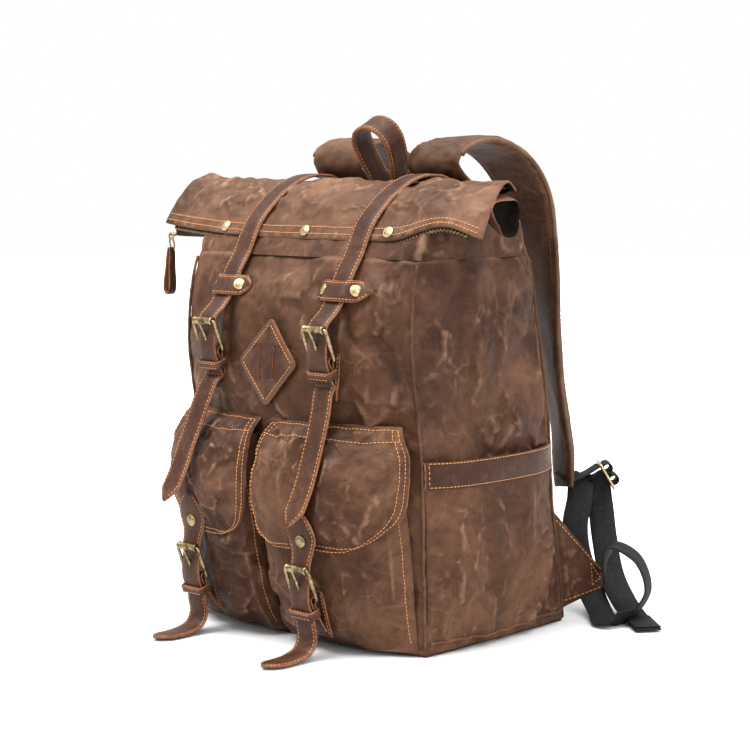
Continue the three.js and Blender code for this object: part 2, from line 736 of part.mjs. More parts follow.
for (const [side, sign] of SIDES) {
  const x = sign * STRAP_X;
  const closure = closureBuckle(x);
  const lower = pocketBuckle(x);
  add(`side_panel_${side}`, sidePanel(sign), canvas);
  add(`side_pocket_${side}`, sidePocket(sign), canvas);
  add(`side_band_${side}`, sideBand(sign), leather);
  add(`pocket_${side}`, pocket(sign), canvas);
  add(`pocket_flap_${side}`, pocketFlap(sign), canvas);
  add(`pocket_strap_${side}`, pocketStrap(x), leather);
  add(`pocket_chape_${side}`, lower.chape([[-167, 38], [-158, 24]]), leather);
  add(`pocket_buckle_frame_${side}`, lower.frame(), brass);
  add(`pocket_buckle_roller_${side}`, lower.roller(), brass);
  add(`pocket_buckle_tongue_${side}`, lower.tongue(), brass);
  add(`closure_strap_rear_${side}`, closureStrapRear(x), leather);
  add(`closure_strap_front_${side}`, closureStrapFront(x), leather);
  add(`closure_strap_tail_${side}`, closureStrapTail(x), leather);
  add(`strap_keeper_${side}`, strapKeeper(x, sign), leather);
  add(`closure_chape_${side}`, closure.chape([[-146.2, 247], [-145.2, 236], [-144.8, 227]]), leather);
  add(`closure_buckle_frame_${side}`, closure.frame(), brass);
  add(`closure_buckle_roller_${side}`, closure.roller(), brass);
  add(`closure_buckle_tongue_${side}`, closure.tongue(), brass);
  add(`shoulder_strap_top_${side}`, shoulderTop(sign), canvas);
  add(`shoulder_strap_${side}`, shoulderStrap(sign), canvas);
  add(`webbing_${side}`, webbing(sign), webbingBlack);
  add(`strap_slider_${side}`, strapSlider(sign), brass);
  add(`lower_anchor_${side}`, lowerAnchor(sign), leather);
}

export default bag;
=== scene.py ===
"""Looks of the waxed-canvas roll-top backpack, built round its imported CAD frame.

Shapes are worked out in millimetres in the frame's own axes and scaled when a mesh is made.
"""
import math

import bmesh
import bpy
import numpy as np
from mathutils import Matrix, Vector


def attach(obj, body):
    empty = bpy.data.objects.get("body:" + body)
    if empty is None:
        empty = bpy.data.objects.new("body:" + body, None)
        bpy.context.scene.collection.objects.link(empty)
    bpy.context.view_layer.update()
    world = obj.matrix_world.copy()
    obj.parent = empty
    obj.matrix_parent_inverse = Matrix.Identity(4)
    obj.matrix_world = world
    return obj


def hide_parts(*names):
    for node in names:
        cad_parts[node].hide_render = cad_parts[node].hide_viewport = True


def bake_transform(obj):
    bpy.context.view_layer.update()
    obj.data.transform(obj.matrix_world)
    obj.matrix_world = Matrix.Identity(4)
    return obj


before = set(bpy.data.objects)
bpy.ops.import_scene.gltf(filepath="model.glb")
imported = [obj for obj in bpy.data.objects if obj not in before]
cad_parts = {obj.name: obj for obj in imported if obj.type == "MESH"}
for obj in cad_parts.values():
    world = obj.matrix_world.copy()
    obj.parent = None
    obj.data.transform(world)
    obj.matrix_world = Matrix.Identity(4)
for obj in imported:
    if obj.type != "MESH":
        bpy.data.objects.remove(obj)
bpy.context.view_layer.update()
MM = 0.001
SIDES = (("left", -1), ("right", 1))

# ---------------------------------------------------------------- noise and curves

_rng = np.random.default_rng(7)
PERM = np.tile(_rng.permutation(256), 2)
GRAD = _rng.normal(size=(256, 3))
GRAD /= np.linalg.norm(GRAD, axis=1, keepdims=True)


def perlin(p):
    """Smooth noise in about -0.7..0.7 at the points p."""
    p = np.asarray(p, float)
    cell = np.floor(p).astype(int)
    f = p - cell
    w = f * f * f * (f * (f * 6 - 15) + 10)
    total = 0
    for corner in np.ndindex(2, 2, 2):
        c = np.array(corner)
        i = (cell + c) & 255
        h = PERM[PERM[PERM[i[..., 0]] + i[..., 1]] + i[..., 2]]
        dot = (GRAD[h & 255] * (f - c)).sum(-1)
        total = total + dot * np.prod(np.where(c == 1, w, 1 - w), axis=-1)
    return total


def fractal(p, octaves=3):
    p = np.asarray(p, float)
    return sum(perlin(p * 2 ** k + 17.3 * k) * 0.5 ** k for k in range(octaves))


def creases(p):
    """Sharp ridges between soft facets, 0 in the facets and up to 1 on a ridge."""
    p = np.asarray(p, float)
    bent = p + 0.35 * np.stack([perlin(p + 5.1), perlin(p + 9.7), perlin(p + 2.9)], -1)
    return np.clip(1 - 5 * np.abs(perlin(bent)), 0, 1) ** 1.5


def facets(p):
    """A height made of tilted flat cells that meet in creases, like crumpled paper."""
    shape = p.shape[:-1]
    p = p.reshape(-1, 3)
    base = np.floor(p).astype(int)
    near, height = [], []
    for off in np.ndindex(3, 3, 3):
        cell = base + np.array(off) - 1
        h = PERM[(PERM[(PERM[cell[:, 0] & 255] + cell[:, 1]) & 255] + cell[:, 2]) & 255]
        centre = cell + 0.5 + 0.42 * np.clip(GRAD[h], -1, 1)
        away = p - centre
        near.append((away ** 2).sum(-1))
        height.append((away * GRAD[(h * 7 + 13) & 255]).sum(-1))
    near, height = np.array(near), np.array(height)
    weight = np.exp(-22 * (near - near.min(0)))
    return ((weight * height).sum(0) / weight.sum(0)).reshape(shape)


def profile(knots):
    """A smooth function through the knots, flat beyond its ends."""
    xs = [k[0] for k in knots]
    ys = [k[1] for k in knots]

    def slope(i):
        a, b = max(i - 1, 0), min(i + 1, len(xs) - 1)
        return (ys[b] - ys[a]) / (xs[b] - xs[a])

    slopes = np.array([slope(i) for i in range(len(xs))])
    xs, ys = np.array(xs, float), np.array(ys, float)

    def f(at):
        at = np.clip(np.asarray(at, float), xs[0], xs[-1])
        i = np.clip(np.searchsorted(xs, at, side="right") - 1, 0, len(xs) - 2)
        step = xs[i + 1] - xs[i]
        t = (at - xs[i]) / step
        h = t * t * (3 - 2 * t)
        return (ys[i] + (ys[i + 1] - ys[i]) * h
                + step * t * (1 - t) * ((1 - t) * slopes[i] - t * slopes[i + 1]))
    return f


def mix(a, b, t):
    """From a to b as t goes from 0 to 1."""
    return a + (b - a) * t


def unit(v):
    v = np.asarray(v, float)
    return v / np.maximum(np.linalg.norm(v, axis=-1, keepdims=True), 1e-9)


class Path:
    """A smooth line through points given as (y, z) in the plane at x, or as (x, y, z)."""

    def __init__(self, points, x=0.0, closed=False):
        through = [np.array(p if len(p) == 3 else (x, p[0], p[1]), float) for p in points]
        if closed:
            ends = [through[-1]] + through + [through[0], through[1]]
        else:
            ends = [2 * through[0] - through[1]] + through + [2 * through[-1] - through[-2]]
        dense = []
        for k in range(len(ends) - 3):
            p0, p1, p2, p3 = ends[k:k + 4]
            d0, d1, d2 = (max(np.linalg.norm(b - a) ** 0.5, 1e-4) for a, b in ((p0, p1), (p1, p2), (p2, p3)))
            m1 = ((p1 - p0) / d0 - (p2 - p0) / (d0 + d1) + (p2 - p1) / d1) * d1
            m2 = ((p2 - p1) / d1 - (p3 - p1) / (d1 + d2) + (p3 - p2) / d2) * d1
            for t in np.linspace(0, 1, 16, endpoint=False):
                t2, t3 = t * t, t * t * t
                dense.append((2 * t3 - 3 * t2 + 1) * p1 + (t3 - 2 * t2 + t) * m1
                             + (3 * t2 - 2 * t3) * p2 + (t3 - t2) * m2)
        dense.append(ends[-2])
        self.points = np.array(dense)
        steps = np.linalg.norm(np.diff(self.points, axis=0), axis=1)
        self.length = steps.sum()
        self.s = np.concatenate([[0], np.cumsum(steps)]) / self.length

    def at(self, t):
        return np.stack([np.interp(t, self.s, self.points[:, k]) for k in range(3)], -1)

    def tangent(self, t):
        t = np.asarray(t, float)
        return unit(self.at(np.clip(t + 0.004, 0, 1)) - self.at(np.clip(t - 0.004, 0, 1)))


# ---------------------------------------------------------------- the bag's own surfaces

CANVAS = 2.4
BACK_PAD = 6.0
STRAP_W = 24.0
STRAP_X = 72.5
PANEL_FOOT = 3.4
BASE_THICK = 2.8
FRONT_TOP = 353.5
BACK_TOP = 358.0
DIAMOND_Z = 255.5

half_width = profile([(0, 146), (80, 147), (200, 147), (300, 145), (370, 142)])
corner_front = profile([(0, -97), (60, -100), (190, -105), (265, -115), (325, -111), (370, -97)])
corner_back = profile([(0, 96), (60, 88), (112, 77), (170, 72), (216, 67), (300, 52), (370, 42)])
front_bulge = profile([(0, 20), (60, 34), (120, 42), (190, 43), (255, 31), (325, 17), (370, 2)])
side_bulge = profile([(0, 0), (60, 5), (150, 8), (300, 6), (370, 3)])
back_bulge = profile([(0, 2), (100, 7), (300, 7), (370, 3)])


def front_y(x, z):
    return corner_front(z) - front_bulge(z) * (1 - (x / half_width(z)) ** 2)


def back_y(x, z):
    return corner_back(z) + back_bulge(z) * (1 - (x / half_width(z)) ** 2)


def tuck(z):
    """How far a panel's top goes in, so that the collar sewn over it lies flush."""
    return 2.6 * np.clip((z - 350.2) / 2.6, 0, 1)


def side_x(y, z):
    middle = (corner_front(z) + corner_back(z)) / 2
    half = (corner_back(z) - corner_front(z)) / 2
    return half_width(z) + side_bulge(z) * (1 - ((y - middle) / half) ** 2)


# ---------------------------------------------------------------- materials


class Nodes:
    """Small helper that wires a shader."""

    def __init__(self, name):
        self.mat = bpy.data.materials.new(name)
        self.mat.use_nodes = True
        self.tree = self.mat.node_tree
        self.bsdf = self.tree.nodes["Principled BSDF"]
        self.coord = self.tree.nodes.new("ShaderNodeTexCoord").outputs["Object"]

    def wire(self, socket, value, colour=False):
        if isinstance(value, bpy.types.NodeSocket):
            self.tree.links.new(value, socket)
        else:
            socket.default_value = (*value, 1) if colour else value

    def put(self, kind, inputs=None, **props):
        node = self.tree.nodes.new("ShaderNode" + kind)
        for key, value in props.items():
            setattr(node, key, value)
        for key, value in (inputs or {}).items():
            self.wire(node.inputs[key], value)
        return node

    def noise(self, scale, detail=4.0, rough=0.6, distort=0.0, out="Fac"):
        node = self.put("TexNoise", {"Scale": scale, "Detail": detail, "Roughness": rough,
                                     "Distortion": distort, "Vector": self.coord})
        return node.outputs[out]

    def ramp(self, fac, stops):
        node = self.put("ValToRGB", {"Fac": fac})
        band = node.color_ramp
        while len(band.elements) < len(stops):
            band.elements.new(0.5)
        for element, (pos, colour) in zip(band.elements, stops):
            element.position = pos
            element.color = (*colour, 1)
        return node.outputs["Color"]

    def fade(self, fac, low, high, start=0.0, end=1.0):
        """A grey that goes from start to end as fac goes from low to high."""
        return self.ramp(fac, [(low, (start,) * 3), (high, (end,) * 3)])

    def math(self, op, a, b=0.0):
        return self.put("Math", {0: a, 1: b}, operation=op).outputs[0]

    def blend(self, fac, a, b, kind="MIX"):
        node = self.put("Mix", {0: fac}, data_type="RGBA", blend_type=kind)
        self.wire(node.inputs[6], a, True)
        self.wire(node.inputs[7], b, True)
        return node.outputs[2]

    def bump(self, height, strength, distance, normal=None):
        inputs = {"Height": height, "Strength": strength, "Distance": distance}
        if normal is not None:
            inputs["Normal"] = normal
        return self.put("Bump", inputs).outputs["Normal"]

    def finish(self, colour, rough, normal, **constants):
        self.wire(self.bsdf.inputs["Base Color"], colour)
        self.wire(self.bsdf.inputs["Roughness"], rough)
        self.wire(self.bsdf.inputs["Normal"], normal)
        for key, value in constants.items():
            self.bsdf.inputs[key.replace("_", " ")].default_value = value
        return self.mat


def canvas_material(name, dark, mid, light, pale):
    n = Nodes(name)
    mottle = n.noise(11, 6, 0.62, 0.4)
    colour = n.ramp(mottle, [(0.33, dark), (0.48, mid), (0.63, light)])
    streaks = n.ramp(n.noise(42, 5, 0.7, 1.2), [(0.36, (0.5, 0.48, 0.48)), (0.56, (1, 1, 1))])
    colour = n.blend(0.75, colour, streaks, "MULTIPLY")
    bent = n.put("VectorMath", {0: n.coord, 1: n.noise(22, 4, 0.6, 0.0, "Color")}, operation="ADD").outputs[0]
    nudge = n.put("VectorMath", {0: bent, "Scale": 0.035}, operation="SCALE").outputs[0]
    where = n.put("VectorMath", {0: n.coord, 1: nudge}, operation="ADD").outputs[0]
    # Fold marks in the wax: pale, thin, branching lines that come and go.
    lines = []
    for scale, width in ((15, 0.035), (31, 0.05)):
        cell = n.put("TexVoronoi", {"Vector": where, "Scale": scale}, feature="DISTANCE_TO_EDGE")
        lines.append(n.fade(cell.outputs["Distance"], 0.0, width, 1, 0))
    gate = n.fade(n.noise(16, 4, 0.6, 0.8), 0.46, 0.68)
    marks = n.blend(1.0, n.blend(1.0, *lines, "ADD"), gate, "MULTIPLY")
    scuffs = n.fade(n.noise(95, 6, 0.75, 2.0), 0.56, 0.74)
    marks = n.blend(0.55, marks, n.blend(1.0, scuffs, gate, "MULTIPLY"), "ADD")
    worn = n.put("Attribute", attribute_name="wear").outputs["Fac"]
    colour = n.blend(n.math("MULTIPLY", marks, 0.2), colour, pale)
    patchy = n.fade(n.noise(60, 5, 0.7, 0.6), 0.34, 0.6, 0.35)
    colour = n.blend(n.math("MULTIPLY", n.math("MULTIPLY", worn, patchy), 0.56), colour, pale)
    weave = n.noise(1700, 2, 0.5)
    crinkle = n.noise(130, 5, 0.65, 0.8)
    normal = n.bump(weave, 0.22, 0.0004)
    normal = n.bump(crinkle, 0.35, 0.0011, normal)
    normal = n.bump(marks, 0.25, 0.0006, normal)
    rough = n.math("ADD", n.math("MULTIPLY", mottle, 0.25), 0.46)
    return n.finish(colour, rough, normal, Specular_IOR_Level=0.14)


def leather_material(name, dark, light, pale):
    n = Nodes(name)
    base = n.ramp(n.noise(26, 6, 0.65, 0.6), [(0.3, dark), (0.7, light)])
    haze = n.fade(n.noise(70, 5, 0.7, 1.5), 0.5, 0.78)
    worn = n.put("Attribute", attribute_name="wear").outputs["Fac"]
    colour = n.blend(n.math("MULTIPLY", haze, 0.3), base, pale)
    colour = n.blend(n.math("MULTIPLY", worn, 0.5), colour, pale)
    grain = n.put("TexVoronoi", {"Vector": n.coord, "Scale": 780.0}, feature="F1").outputs["Distance"]
    normal = n.bump(grain, 0.16, 0.0004)
    normal = n.bump(n.noise(240, 5, 0.7, 0.8), 0.22, 0.0006, normal)
    roughness = n.math("ADD", n.math("MULTIPLY", n.noise(55, 4), 0.22), 0.34)
    return n.finish(colour, roughness, normal, Specular_IOR_Level=0.13)


def metal_material(name, dark, light, rough, wear_scale=160):
    n = Nodes(name)
    tarnish = n.noise(wear_scale, 6, 0.7, 1.0)
    colour = n.ramp(tarnish, [(0.34, dark), (0.62, light)])
    normal = n.bump(n.noise(900, 3, 0.6), 0.12, 0.0002)
    roughness = n.math("ADD", n.math("MULTIPLY", tarnish, 0.22), rough - 0.08)
    return n.finish(colour, roughness, normal, Metallic=1.0)


def fibre_material(name, dark, light, scale, rough=0.75, gloss=0.25):
    n = Nodes(name)
    colour = n.ramp(n.noise(scale, 4, 0.7), [(0.35, dark), (0.65, light)])
    normal = n.bump(n.noise(scale * 3, 3, 0.6), 0.4, 0.0003)
    return n.finish(colour, rough, normal, Specular_IOR_Level=gloss)


def webbing_material(name):
    n = Nodes(name)
    colour = n.ramp(n.noise(300, 4, 0.7), [(0.35, (0.0045, 0.0042, 0.0045)), (0.7, (0.014, 0.0125, 0.0125))])
    normal = n.bump(n.noise(1500, 2, 0.5), 0.6, 0.0005)
    return n.finish(colour, 0.7, normal, Specular_IOR_Level=0.16)


M = {
    "canvas": canvas_material("waxed canvas", (0.03, 0.0112, 0.0048), (0.057, 0.0227, 0.0104),
                              (0.1, 0.045, 0.0235), (0.25, 0.142, 0.086)),
    # A very dark colour for the backs of sheets; inside the roll's open ends the same colour is painted shade.
    "lining": fibre_material("dark cotton lining and painted shade", (0.0045, 0.0032, 0.0026), (0.013, 0.0092, 0.0072), 500,
                             gloss=0.06),
    "leather": leather_material("oiled leather", (0.023, 0.0082, 0.0042), (0.054, 0.0215, 0.0112),
                                (0.17, 0.088, 0.05)),
    "leather_edge": fibre_material("raw leather edge", (0.085, 0.03, 0.012), (0.22, 0.085, 0.034), 260, 0.65),
    "thread": fibre_material("waxed orange thread", (0.36, 0.135, 0.04), (0.62, 0.29, 0.11), 900, 0.55),
    "thread_dark": fibre_material("brown thread", (0.09, 0.045, 0.028), (0.2, 0.11, 0.07), 900, 0.6),
    "antique_brass": metal_material("antique brass", (0.055, 0.036, 0.016), (0.36, 0.27, 0.145), 0.32),
    "pale_brass": metal_material("pale brass", (0.3, 0.21, 0.095), (0.62, 0.49, 0.28), 0.36, 90),
    "zip_brass": metal_material("zip brass", (0.1, 0.066, 0.027), (0.36, 0.25, 0.11), 0.4, 300),
    # A lighter copy of the canvas for the roll and its hem: painted light standing in for the light that falls on the
    # roll's top.
    "canvas_lit_roll": canvas_material("waxed canvas of the roll, painted lighter as if lit", (0.045, 0.0185, 0.0088), (0.088, 0.039, 0.0195),
                                   (0.145, 0.071, 0.0395), (0.29, 0.168, 0.104)),
    "tape": fibre_material("zip tape", (0.012, 0.008, 0.0065), (0.034, 0.023, 0.018), 600, gloss=0.1),
    "webbing": webbing_material("black webbing"),
    # The near-black of the punched holes is painted shade for their depth.
    "hole": fibre_material("painted shade in a punched hole", (0.006, 0.004, 0.003), (0.014, 0.009, 0.007), 400, 0.9),
    "board": fibre_material("stiffener board", (0.018, 0.015, 0.013), (0.04, 0.034, 0.03), 260, 0.8),
}

# ---------------------------------------------------------------- mesh making


def make(name, verts, faces, materials, body, index=None, replaces=(), smooth=True, wear=None, subdivide=0):
    """Makes a piece from millimetre points, rides it on a body and hides the imported parts it replaces."""
    mesh = bpy.data.meshes.new(name)
    mesh.from_pydata((np.asarray(verts, float) * MM).tolist(), [], [list(map(int, f)) for f in faces])
    for key in materials:
        mesh.materials.append(M[key])
    if index is not None:
        mesh.polygons.foreach_set("material_index", np.asarray(index, np.int32))
    mesh.polygons.foreach_set("use_smooth", np.full(len(mesh.polygons), smooth))
    mesh.validate()
    work = bmesh.new()
    work.from_mesh(mesh)
    bmesh.ops.recalc_face_normals(work, faces=work.faces)
    work.to_mesh(mesh)
    work.free()
    mesh.update()
    if wear is not None:
        layer = mesh.attributes.new("wear", "FLOAT", "POINT")
        layer.data.foreach_set("value", np.asarray(wear, np.float32))
    piece = bpy.data.objects.new(name, mesh)
    bpy.context.scene.collection.objects.link(piece)
    if subdivide:
        sub = piece.modifiers.new("smooth", "SUBSURF")
        sub.levels = sub.render_levels = subdivide
    if body:
        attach(piece, body)
    if replaces:
        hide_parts(*replaces)
    return piece


def rings(rows, count, caps=True, loop=False):
    """The faces that join rows of count points each into a skin, closed at its ends or round on itself."""
    faces = []
    for i in range(rows if loop else rows - 1):
        j = (i + 1) % rows
        for k in range(count):
            m = (k + 1) % count
            faces.append([i * count + k, i * count + m, j * count + m, j * count + k])
    if caps:
        faces += [list(range(count - 1, -1, -1)), [(rows - 1) * count + k for k in range(count)]]
    return faces


def circle(count):
    """Angles evenly round a circle."""
    return np.linspace(0, 2 * math.pi, count, endpoint=False)


def shares(nu, nv, low=0):
    """The shares across and along at the points of a grid, ready to broadcast."""
    return np.linspace(low, 1, nu)[:, None], np.linspace(0, 1, nv)[None, :]


def bell(x, middle, width):
    """1 at the middle, falling off smoothly over the width."""
    return np.exp(-((x - middle) / width) ** 2)


def rise_to(x, speed):
    """0 up to x = 0, and then up to 1 at the given speed."""
    return np.clip(x * speed, 0, 1)


def smoothed(t):
    """t in 0..1, with a soft start and end."""
    return t * t * (3 - 2 * t)


def normals(grid, flip=False):
    n = np.cross(np.gradient(grid, axis=0), np.gradient(grid, axis=1))
    return unit(-n if flip else n)


def smooth_grid(field, passes):
    for _ in range(passes):
        padded = np.pad(field, ((1, 1), (1, 1)) + ((0, 0),) * (field.ndim - 2), mode="edge")
        field = (padded[:-2, 1:-1] + padded[2:, 1:-1] + padded[1:-1, :-2] + padded[1:-1, 2:] + 4 * field) / 8
    return field


def convexity(grid, n):
    """Where the cloth is rubbed: 1 on its sharpest outward folds, 0 on its flats and in its hollows."""
    out = ((grid - smooth_grid(grid, 5)) * n).sum(-1)
    low, high = np.percentile(out, (87, 99.5))
    return np.clip((out - low) / max(high - low, 0.05), 0, 1)


CLOTH_FRAMES = 16
CLOTH_DRIFT = 2.5  # how far the cloth may slide along itself


def crumple(grid, excess, flip=False, cap=(2.0, 4.5), seed=0.0):
    """Lets a panel that is held along its seams buckle, as cloth cut a little too big does."""
    n = normals(grid, flip)
    start = grid + n * (fractal(grid / 26 + seed, 2) * 1.6)[..., None]
    nu, nv = grid.shape[:2]
    at = np.arange(nu * nv).reshape(nu, nv)
    faces = np.stack([at[:-1, :-1], at[1:, :-1], at[1:, 1:], at[:-1, 1:]], -1).reshape(-1, 4)
    mesh = bpy.data.meshes.new("cloth")
    mesh.from_pydata((start.reshape(-1, 3) * MM).tolist(), [], faces.tolist())
    cloth = bpy.data.objects.new("cloth", mesh)
    bpy.context.scene.collection.objects.link(cloth)
    held = cloth.vertex_groups.new(name="held")
    rim = np.unique(np.concatenate([at[0], at[-1], at[:, 0], at[:, -1]]))
    held.add([int(i) for i in rim], 1.0, "REPLACE")
    sim = cloth.modifiers.new("cloth", "CLOTH")
    s = sim.settings
    s.quality = 5
    s.mass = 0.15
    s.tension_stiffness = s.compression_stiffness = 12
    s.shear_stiffness = 6
    s.bending_stiffness = 0.12
    s.vertex_group_mass = "held"
    s.shrink_min = s.shrink_max = -excess
    s.effector_weights.gravity = 0
    sim.collision_settings.use_self_collision = False
    sim.point_cache.frame_start = 1
    sim.point_cache.frame_end = CLOTH_FRAMES
    scene = bpy.context.scene
    for f in range(1, CLOTH_FRAMES + 1):
        scene.frame_set(f)
    evaluated = cloth.evaluated_get(bpy.context.evaluated_depsgraph_get())
    moved = np.empty(nu * nv * 3, np.float32)
    evaluated.data.vertices.foreach_get("co", moved)
    moved = moved.reshape(nu, nv, 3).astype(float) / MM
    scene.frame_set(1)
    bpy.data.objects.remove(cloth)
    bpy.data.meshes.remove(mesh)
    shift = moved - grid
    out = np.clip((shift * n).sum(-1), -cap[0], cap[1])
    along = shift - n * (shift * n).sum(-1)[..., None]
    size = np.linalg.norm(along, axis=-1, keepdims=True)
    along = along * np.minimum(1, CLOTH_DRIFT / np.maximum(size, 1e-6))
    return grid + smooth_grid(along + n * out[..., None], 1)


def finer(grid):
    """The same surface with twice the points along both ways, on a smooth curve through the old ones."""
    for _ in range(2):
        grid = grid.swapaxes(0, 1)
        padded = np.concatenate([2 * grid[:1] - grid[1:2], grid, 2 * grid[-1:] - grid[-2:-1]])
        parts = []
        for t in (0, 0.5):
            p0, p1, p2, p3 = padded[:-3], padded[1:-2], padded[2:-1], padded[3:]
            parts.append(0.5 * (2 * p1 + (p2 - p0) * t + (2 * p0 - 5 * p1 + 4 * p2 - p3) * t ** 2
                                + (3 * p1 - p0 - 3 * p2 + p3) * t ** 3))
        dense = np.stack(parts, 1).reshape(-1, *grid.shape[1:])
        grid = np.concatenate([dense, grid[-1:]])
    return grid


def edge_fade(shape, reach=9.0):
    """0 at the rim and 1 inside."""
    u, v = shares(*shape[:2])
    far = np.ones(shape[:2])
    for share in (u, 1 - u, v, 1 - v):
        far = np.minimum(far, share * reach)
    return smoothed(np.clip(far, 0, 1))


def weather(grid, flip=False, cell=34.0, slope=0.15, seed=0.0, stretch=(1, 1, 0.75), fade=None):
    """Waxed cloth keeps each fold as a crisp facet: adds two sizes of them to a panel."""
    grid = finer(grid)
    n = normals(grid, flip)
    drift = np.stack([fractal(grid / 60 + k * 7.3) for k in range(3)], -1)
    p = grid * np.array(stretch) / cell + seed + 0.35 * drift
    gate = np.clip(0.75 + 1.1 * fractal(grid / 75 + seed), 0.25, 1.3)
    rise = facets(p) * cell * slope + facets(p * 2.3 + 11) * cell * slope * 0.42
    rise = rise * gate * (edge_fade(grid.shape) if fade is None else fade)
    return grid + n * rise[..., None]


def sheet(name, grid, thickness, body, material="canvas", inside="lining", rim=None, flip=False,
          replaces=(), thick=None, rim_wear=0.6, rub=1.0):
    """A closed, thin piece with a rounded rim. grid is its outer face, [across, along]."""
    n = normals(grid, flip)
    depth = thickness if thick is None else thick[..., None]
    back = grid - n * depth
    nu, nv = grid.shape[:2]
    at = np.arange(nu * nv).reshape(nu, nv)
    border = ([(i, 0) for i in range(nu - 1)] + [(nu - 1, j) for j in range(nv - 1)]
              + [(i, nv - 1) for i in range(nu - 1, 0, -1)] + [(0, j) for j in range(nv - 1, 0, -1)])
    edge = []
    for i, j in border:
        inner = grid[min(max(i, 1), nu - 2), min(max(j, 1), nv - 2)]
        middle = (grid[i, j] + back[i, j]) / 2
        local = np.linalg.norm(grid[i, j] - back[i, j])
        edge.append(middle + unit(grid[i, j] - inner) * local * 0.35)
    verts = np.concatenate([grid.reshape(-1, 3), back.reshape(-1, 3), np.array(edge)])
    quads = np.stack([at[:-1, :-1], at[1:, :-1], at[1:, 1:], at[:-1, 1:]], -1).reshape(-1, 4)
    if flip:
        quads = quads[:, ::-1]
    total = nu * nv
    faces = [*quads.tolist(), *(quads[:, ::-1] + total).tolist()]
    index = [0] * len(quads) + [1] * len(quads)
    for k in range(len(border)):
        m = (k + 1) % len(border)
        a, b = at[border[k]], at[border[m]]
        ea, eb = 2 * total + k, 2 * total + m
        ring = [[a, ea, eb, b], [a + total, b + total, eb, ea]]
        faces += [r[::-1] for r in ring] if flip else ring
        index += [2, 2]
    wear = np.concatenate([convexity(grid, n).ravel() * rub, np.zeros(total), np.full(len(border), rim_wear)])
    return make(name, verts, faces, [material, inside, rim or material], body, index, replaces,
                wear=wear, subdivide=1)


NARROW = 4.0  # below this width a strap's corners aren't rounded
FLOOR_GAP = 0.3


def strap_frame(path, ts, side):
    """The centre, and the directions along, across and up, at each share ts of a path."""
    centre, along = path.at(ts), path.tangent(ts)
    across = np.array([side(t) if callable(side) else side for t in ts], float)
    across = unit(across - along * (across * along).sum(-1, keepdims=True))
    return centre, along, across, np.cross(along, across)


def between(t, ts, *fields):
    """Each field of vectors, known at ts, at t."""
    return [np.stack([np.interp(t, ts, field[:, k]) for k in range(3)], -1) for field in fields]


def ribbon(name, path, width, thickness, side, steps, body, material="leather", edge="leather_edge",
           replaces=(), lift=None, crown=0.0, back=None):
    """A flat strap with softened, raw edges. Returns the piece and a function to stand on it."""
    ts = np.linspace(0, 1, steps + 1)
    centre, _, across, up = strap_frame(path, ts, side)
    if lift is not None:
        centre = centre + up * lift(ts)[:, None]
    wide = np.array([width(t) if callable(width) else width for t in ts], float)
    h = thickness / 2
    b = min(0.7, thickness * 0.3)
    # Share of the width, whether the corner is pulled in to round it, and height.
    section = [(-0.5, 0, -h + b), (-0.5, 1, -h), (-0.17, 0, -h), (0.17, 0, -h), (0.5, 1, -h), (0.5, 0, -h + b),
               (0.5, 0, h - b), (0.5, 1, h), (0.17, 0, h), (-0.17, 0, h), (-0.5, 1, h), (-0.5, 0, h - b)]
    ring = []
    for share, corner, height in section:
        x = share * wide - math.copysign(1.2 * b * corner, share)
        bow = crown * (1 - (2 * share) ** 2) * (1 if height > 0 else 0.6)
        ring.append(centre + across * np.where(wide > NARROW, x, share * wide)[:, None] + up * (height + bow))
    ring = np.stack(ring, 1)
    ring[..., 2] = np.maximum(ring[..., 2], FLOOR_GAP)
    count = len(section)
    verts = ring.reshape(-1, 3)
    faces = rings(steps + 1, count)
    edge_faces = {0, 4, 5, 6, 10, 11}
    index = [1 if k in edge_faces else (2 if k < 4 and back else 0) for _ in range(steps) for k in range(count)]
    index += [1, 1]
    worn = np.tile([0.9 if abs(w) == 0.5 else 0.0 for w, _, _ in section], steps + 1)
    rub = np.clip(fractal(verts / 22, 3) + 0.35, 0, 1)
    piece = make(name, verts, faces, [material, edge, back or material], body, index, replaces, wear=worn * rub)

    def stand(t, offset, rise=0.0):
        c, s, u = between(t, ts, centre, across, up)
        s, u = unit(s), unit(u)
        offset = np.broadcast_to(offset, np.shape(t))
        return c + s * offset[..., None] + u * (h + rise), u
    return piece, stand


def tube(name, points, radius, body, material, sides=10, closed=False, replaces=(), flat=1.0, normal=None,
         wear=0.0):
    """A round bar through points. flat squashes its section along the given normal."""
    points = np.asarray(points, float)
    if closed:
        tangent = unit(np.roll(points, -1, 0) - np.roll(points, 1, 0))
    else:
        tangent = unit(np.gradient(points, axis=0))
    ref = np.array(normal if normal is not None else (0.0, 0.0, 1.0))
    if normal is None and abs(tangent @ ref).max() > 0.95:
        ref = np.array((0.31, 0.93, 0.2))
    side = unit(np.cross(tangent, ref))
    up = np.cross(side, tangent)
    size = np.broadcast_to(np.asarray(radius, float), (len(points),))
    angle = circle(sides)
    ring = (points[:, None] + (np.cos(angle)[None, :, None] * side[:, None]
            + flat * np.sin(angle)[None, :, None] * up[:, None]) * size[:, None, None])
    verts = ring.reshape(-1, 3)
    faces = rings(len(points), sides, caps=not closed, loop=closed)
    return make(name, verts, faces, [material], body, replaces=replaces, wear=np.full(len(verts), wear))


def lathe_parts(outline, centre, axis, segments=20):
    """The points and faces of a turned piece. outline is (radius, height) from its back to its top."""
    axis = unit(axis)
    side = unit(np.cross(axis, (0.3, 0.2, 0.93) if abs(axis[2]) < 0.9 else (1.0, 0, 0)))
    up = np.cross(axis, side)
    verts = [np.asarray(centre) + axis * h + (side * math.cos(a) + up * math.sin(a)) * r
             for r, h in outline for a in circle(segments)]
    return np.array(verts), rings(len(outline), segments)


def join_parts(parts):
    verts, faces, base = [], [], 0
    for v, f in parts:
        verts.append(v)
        faces += [[i + base for i in face] for face in f]
        base += len(v)
    return np.concatenate(verts), faces


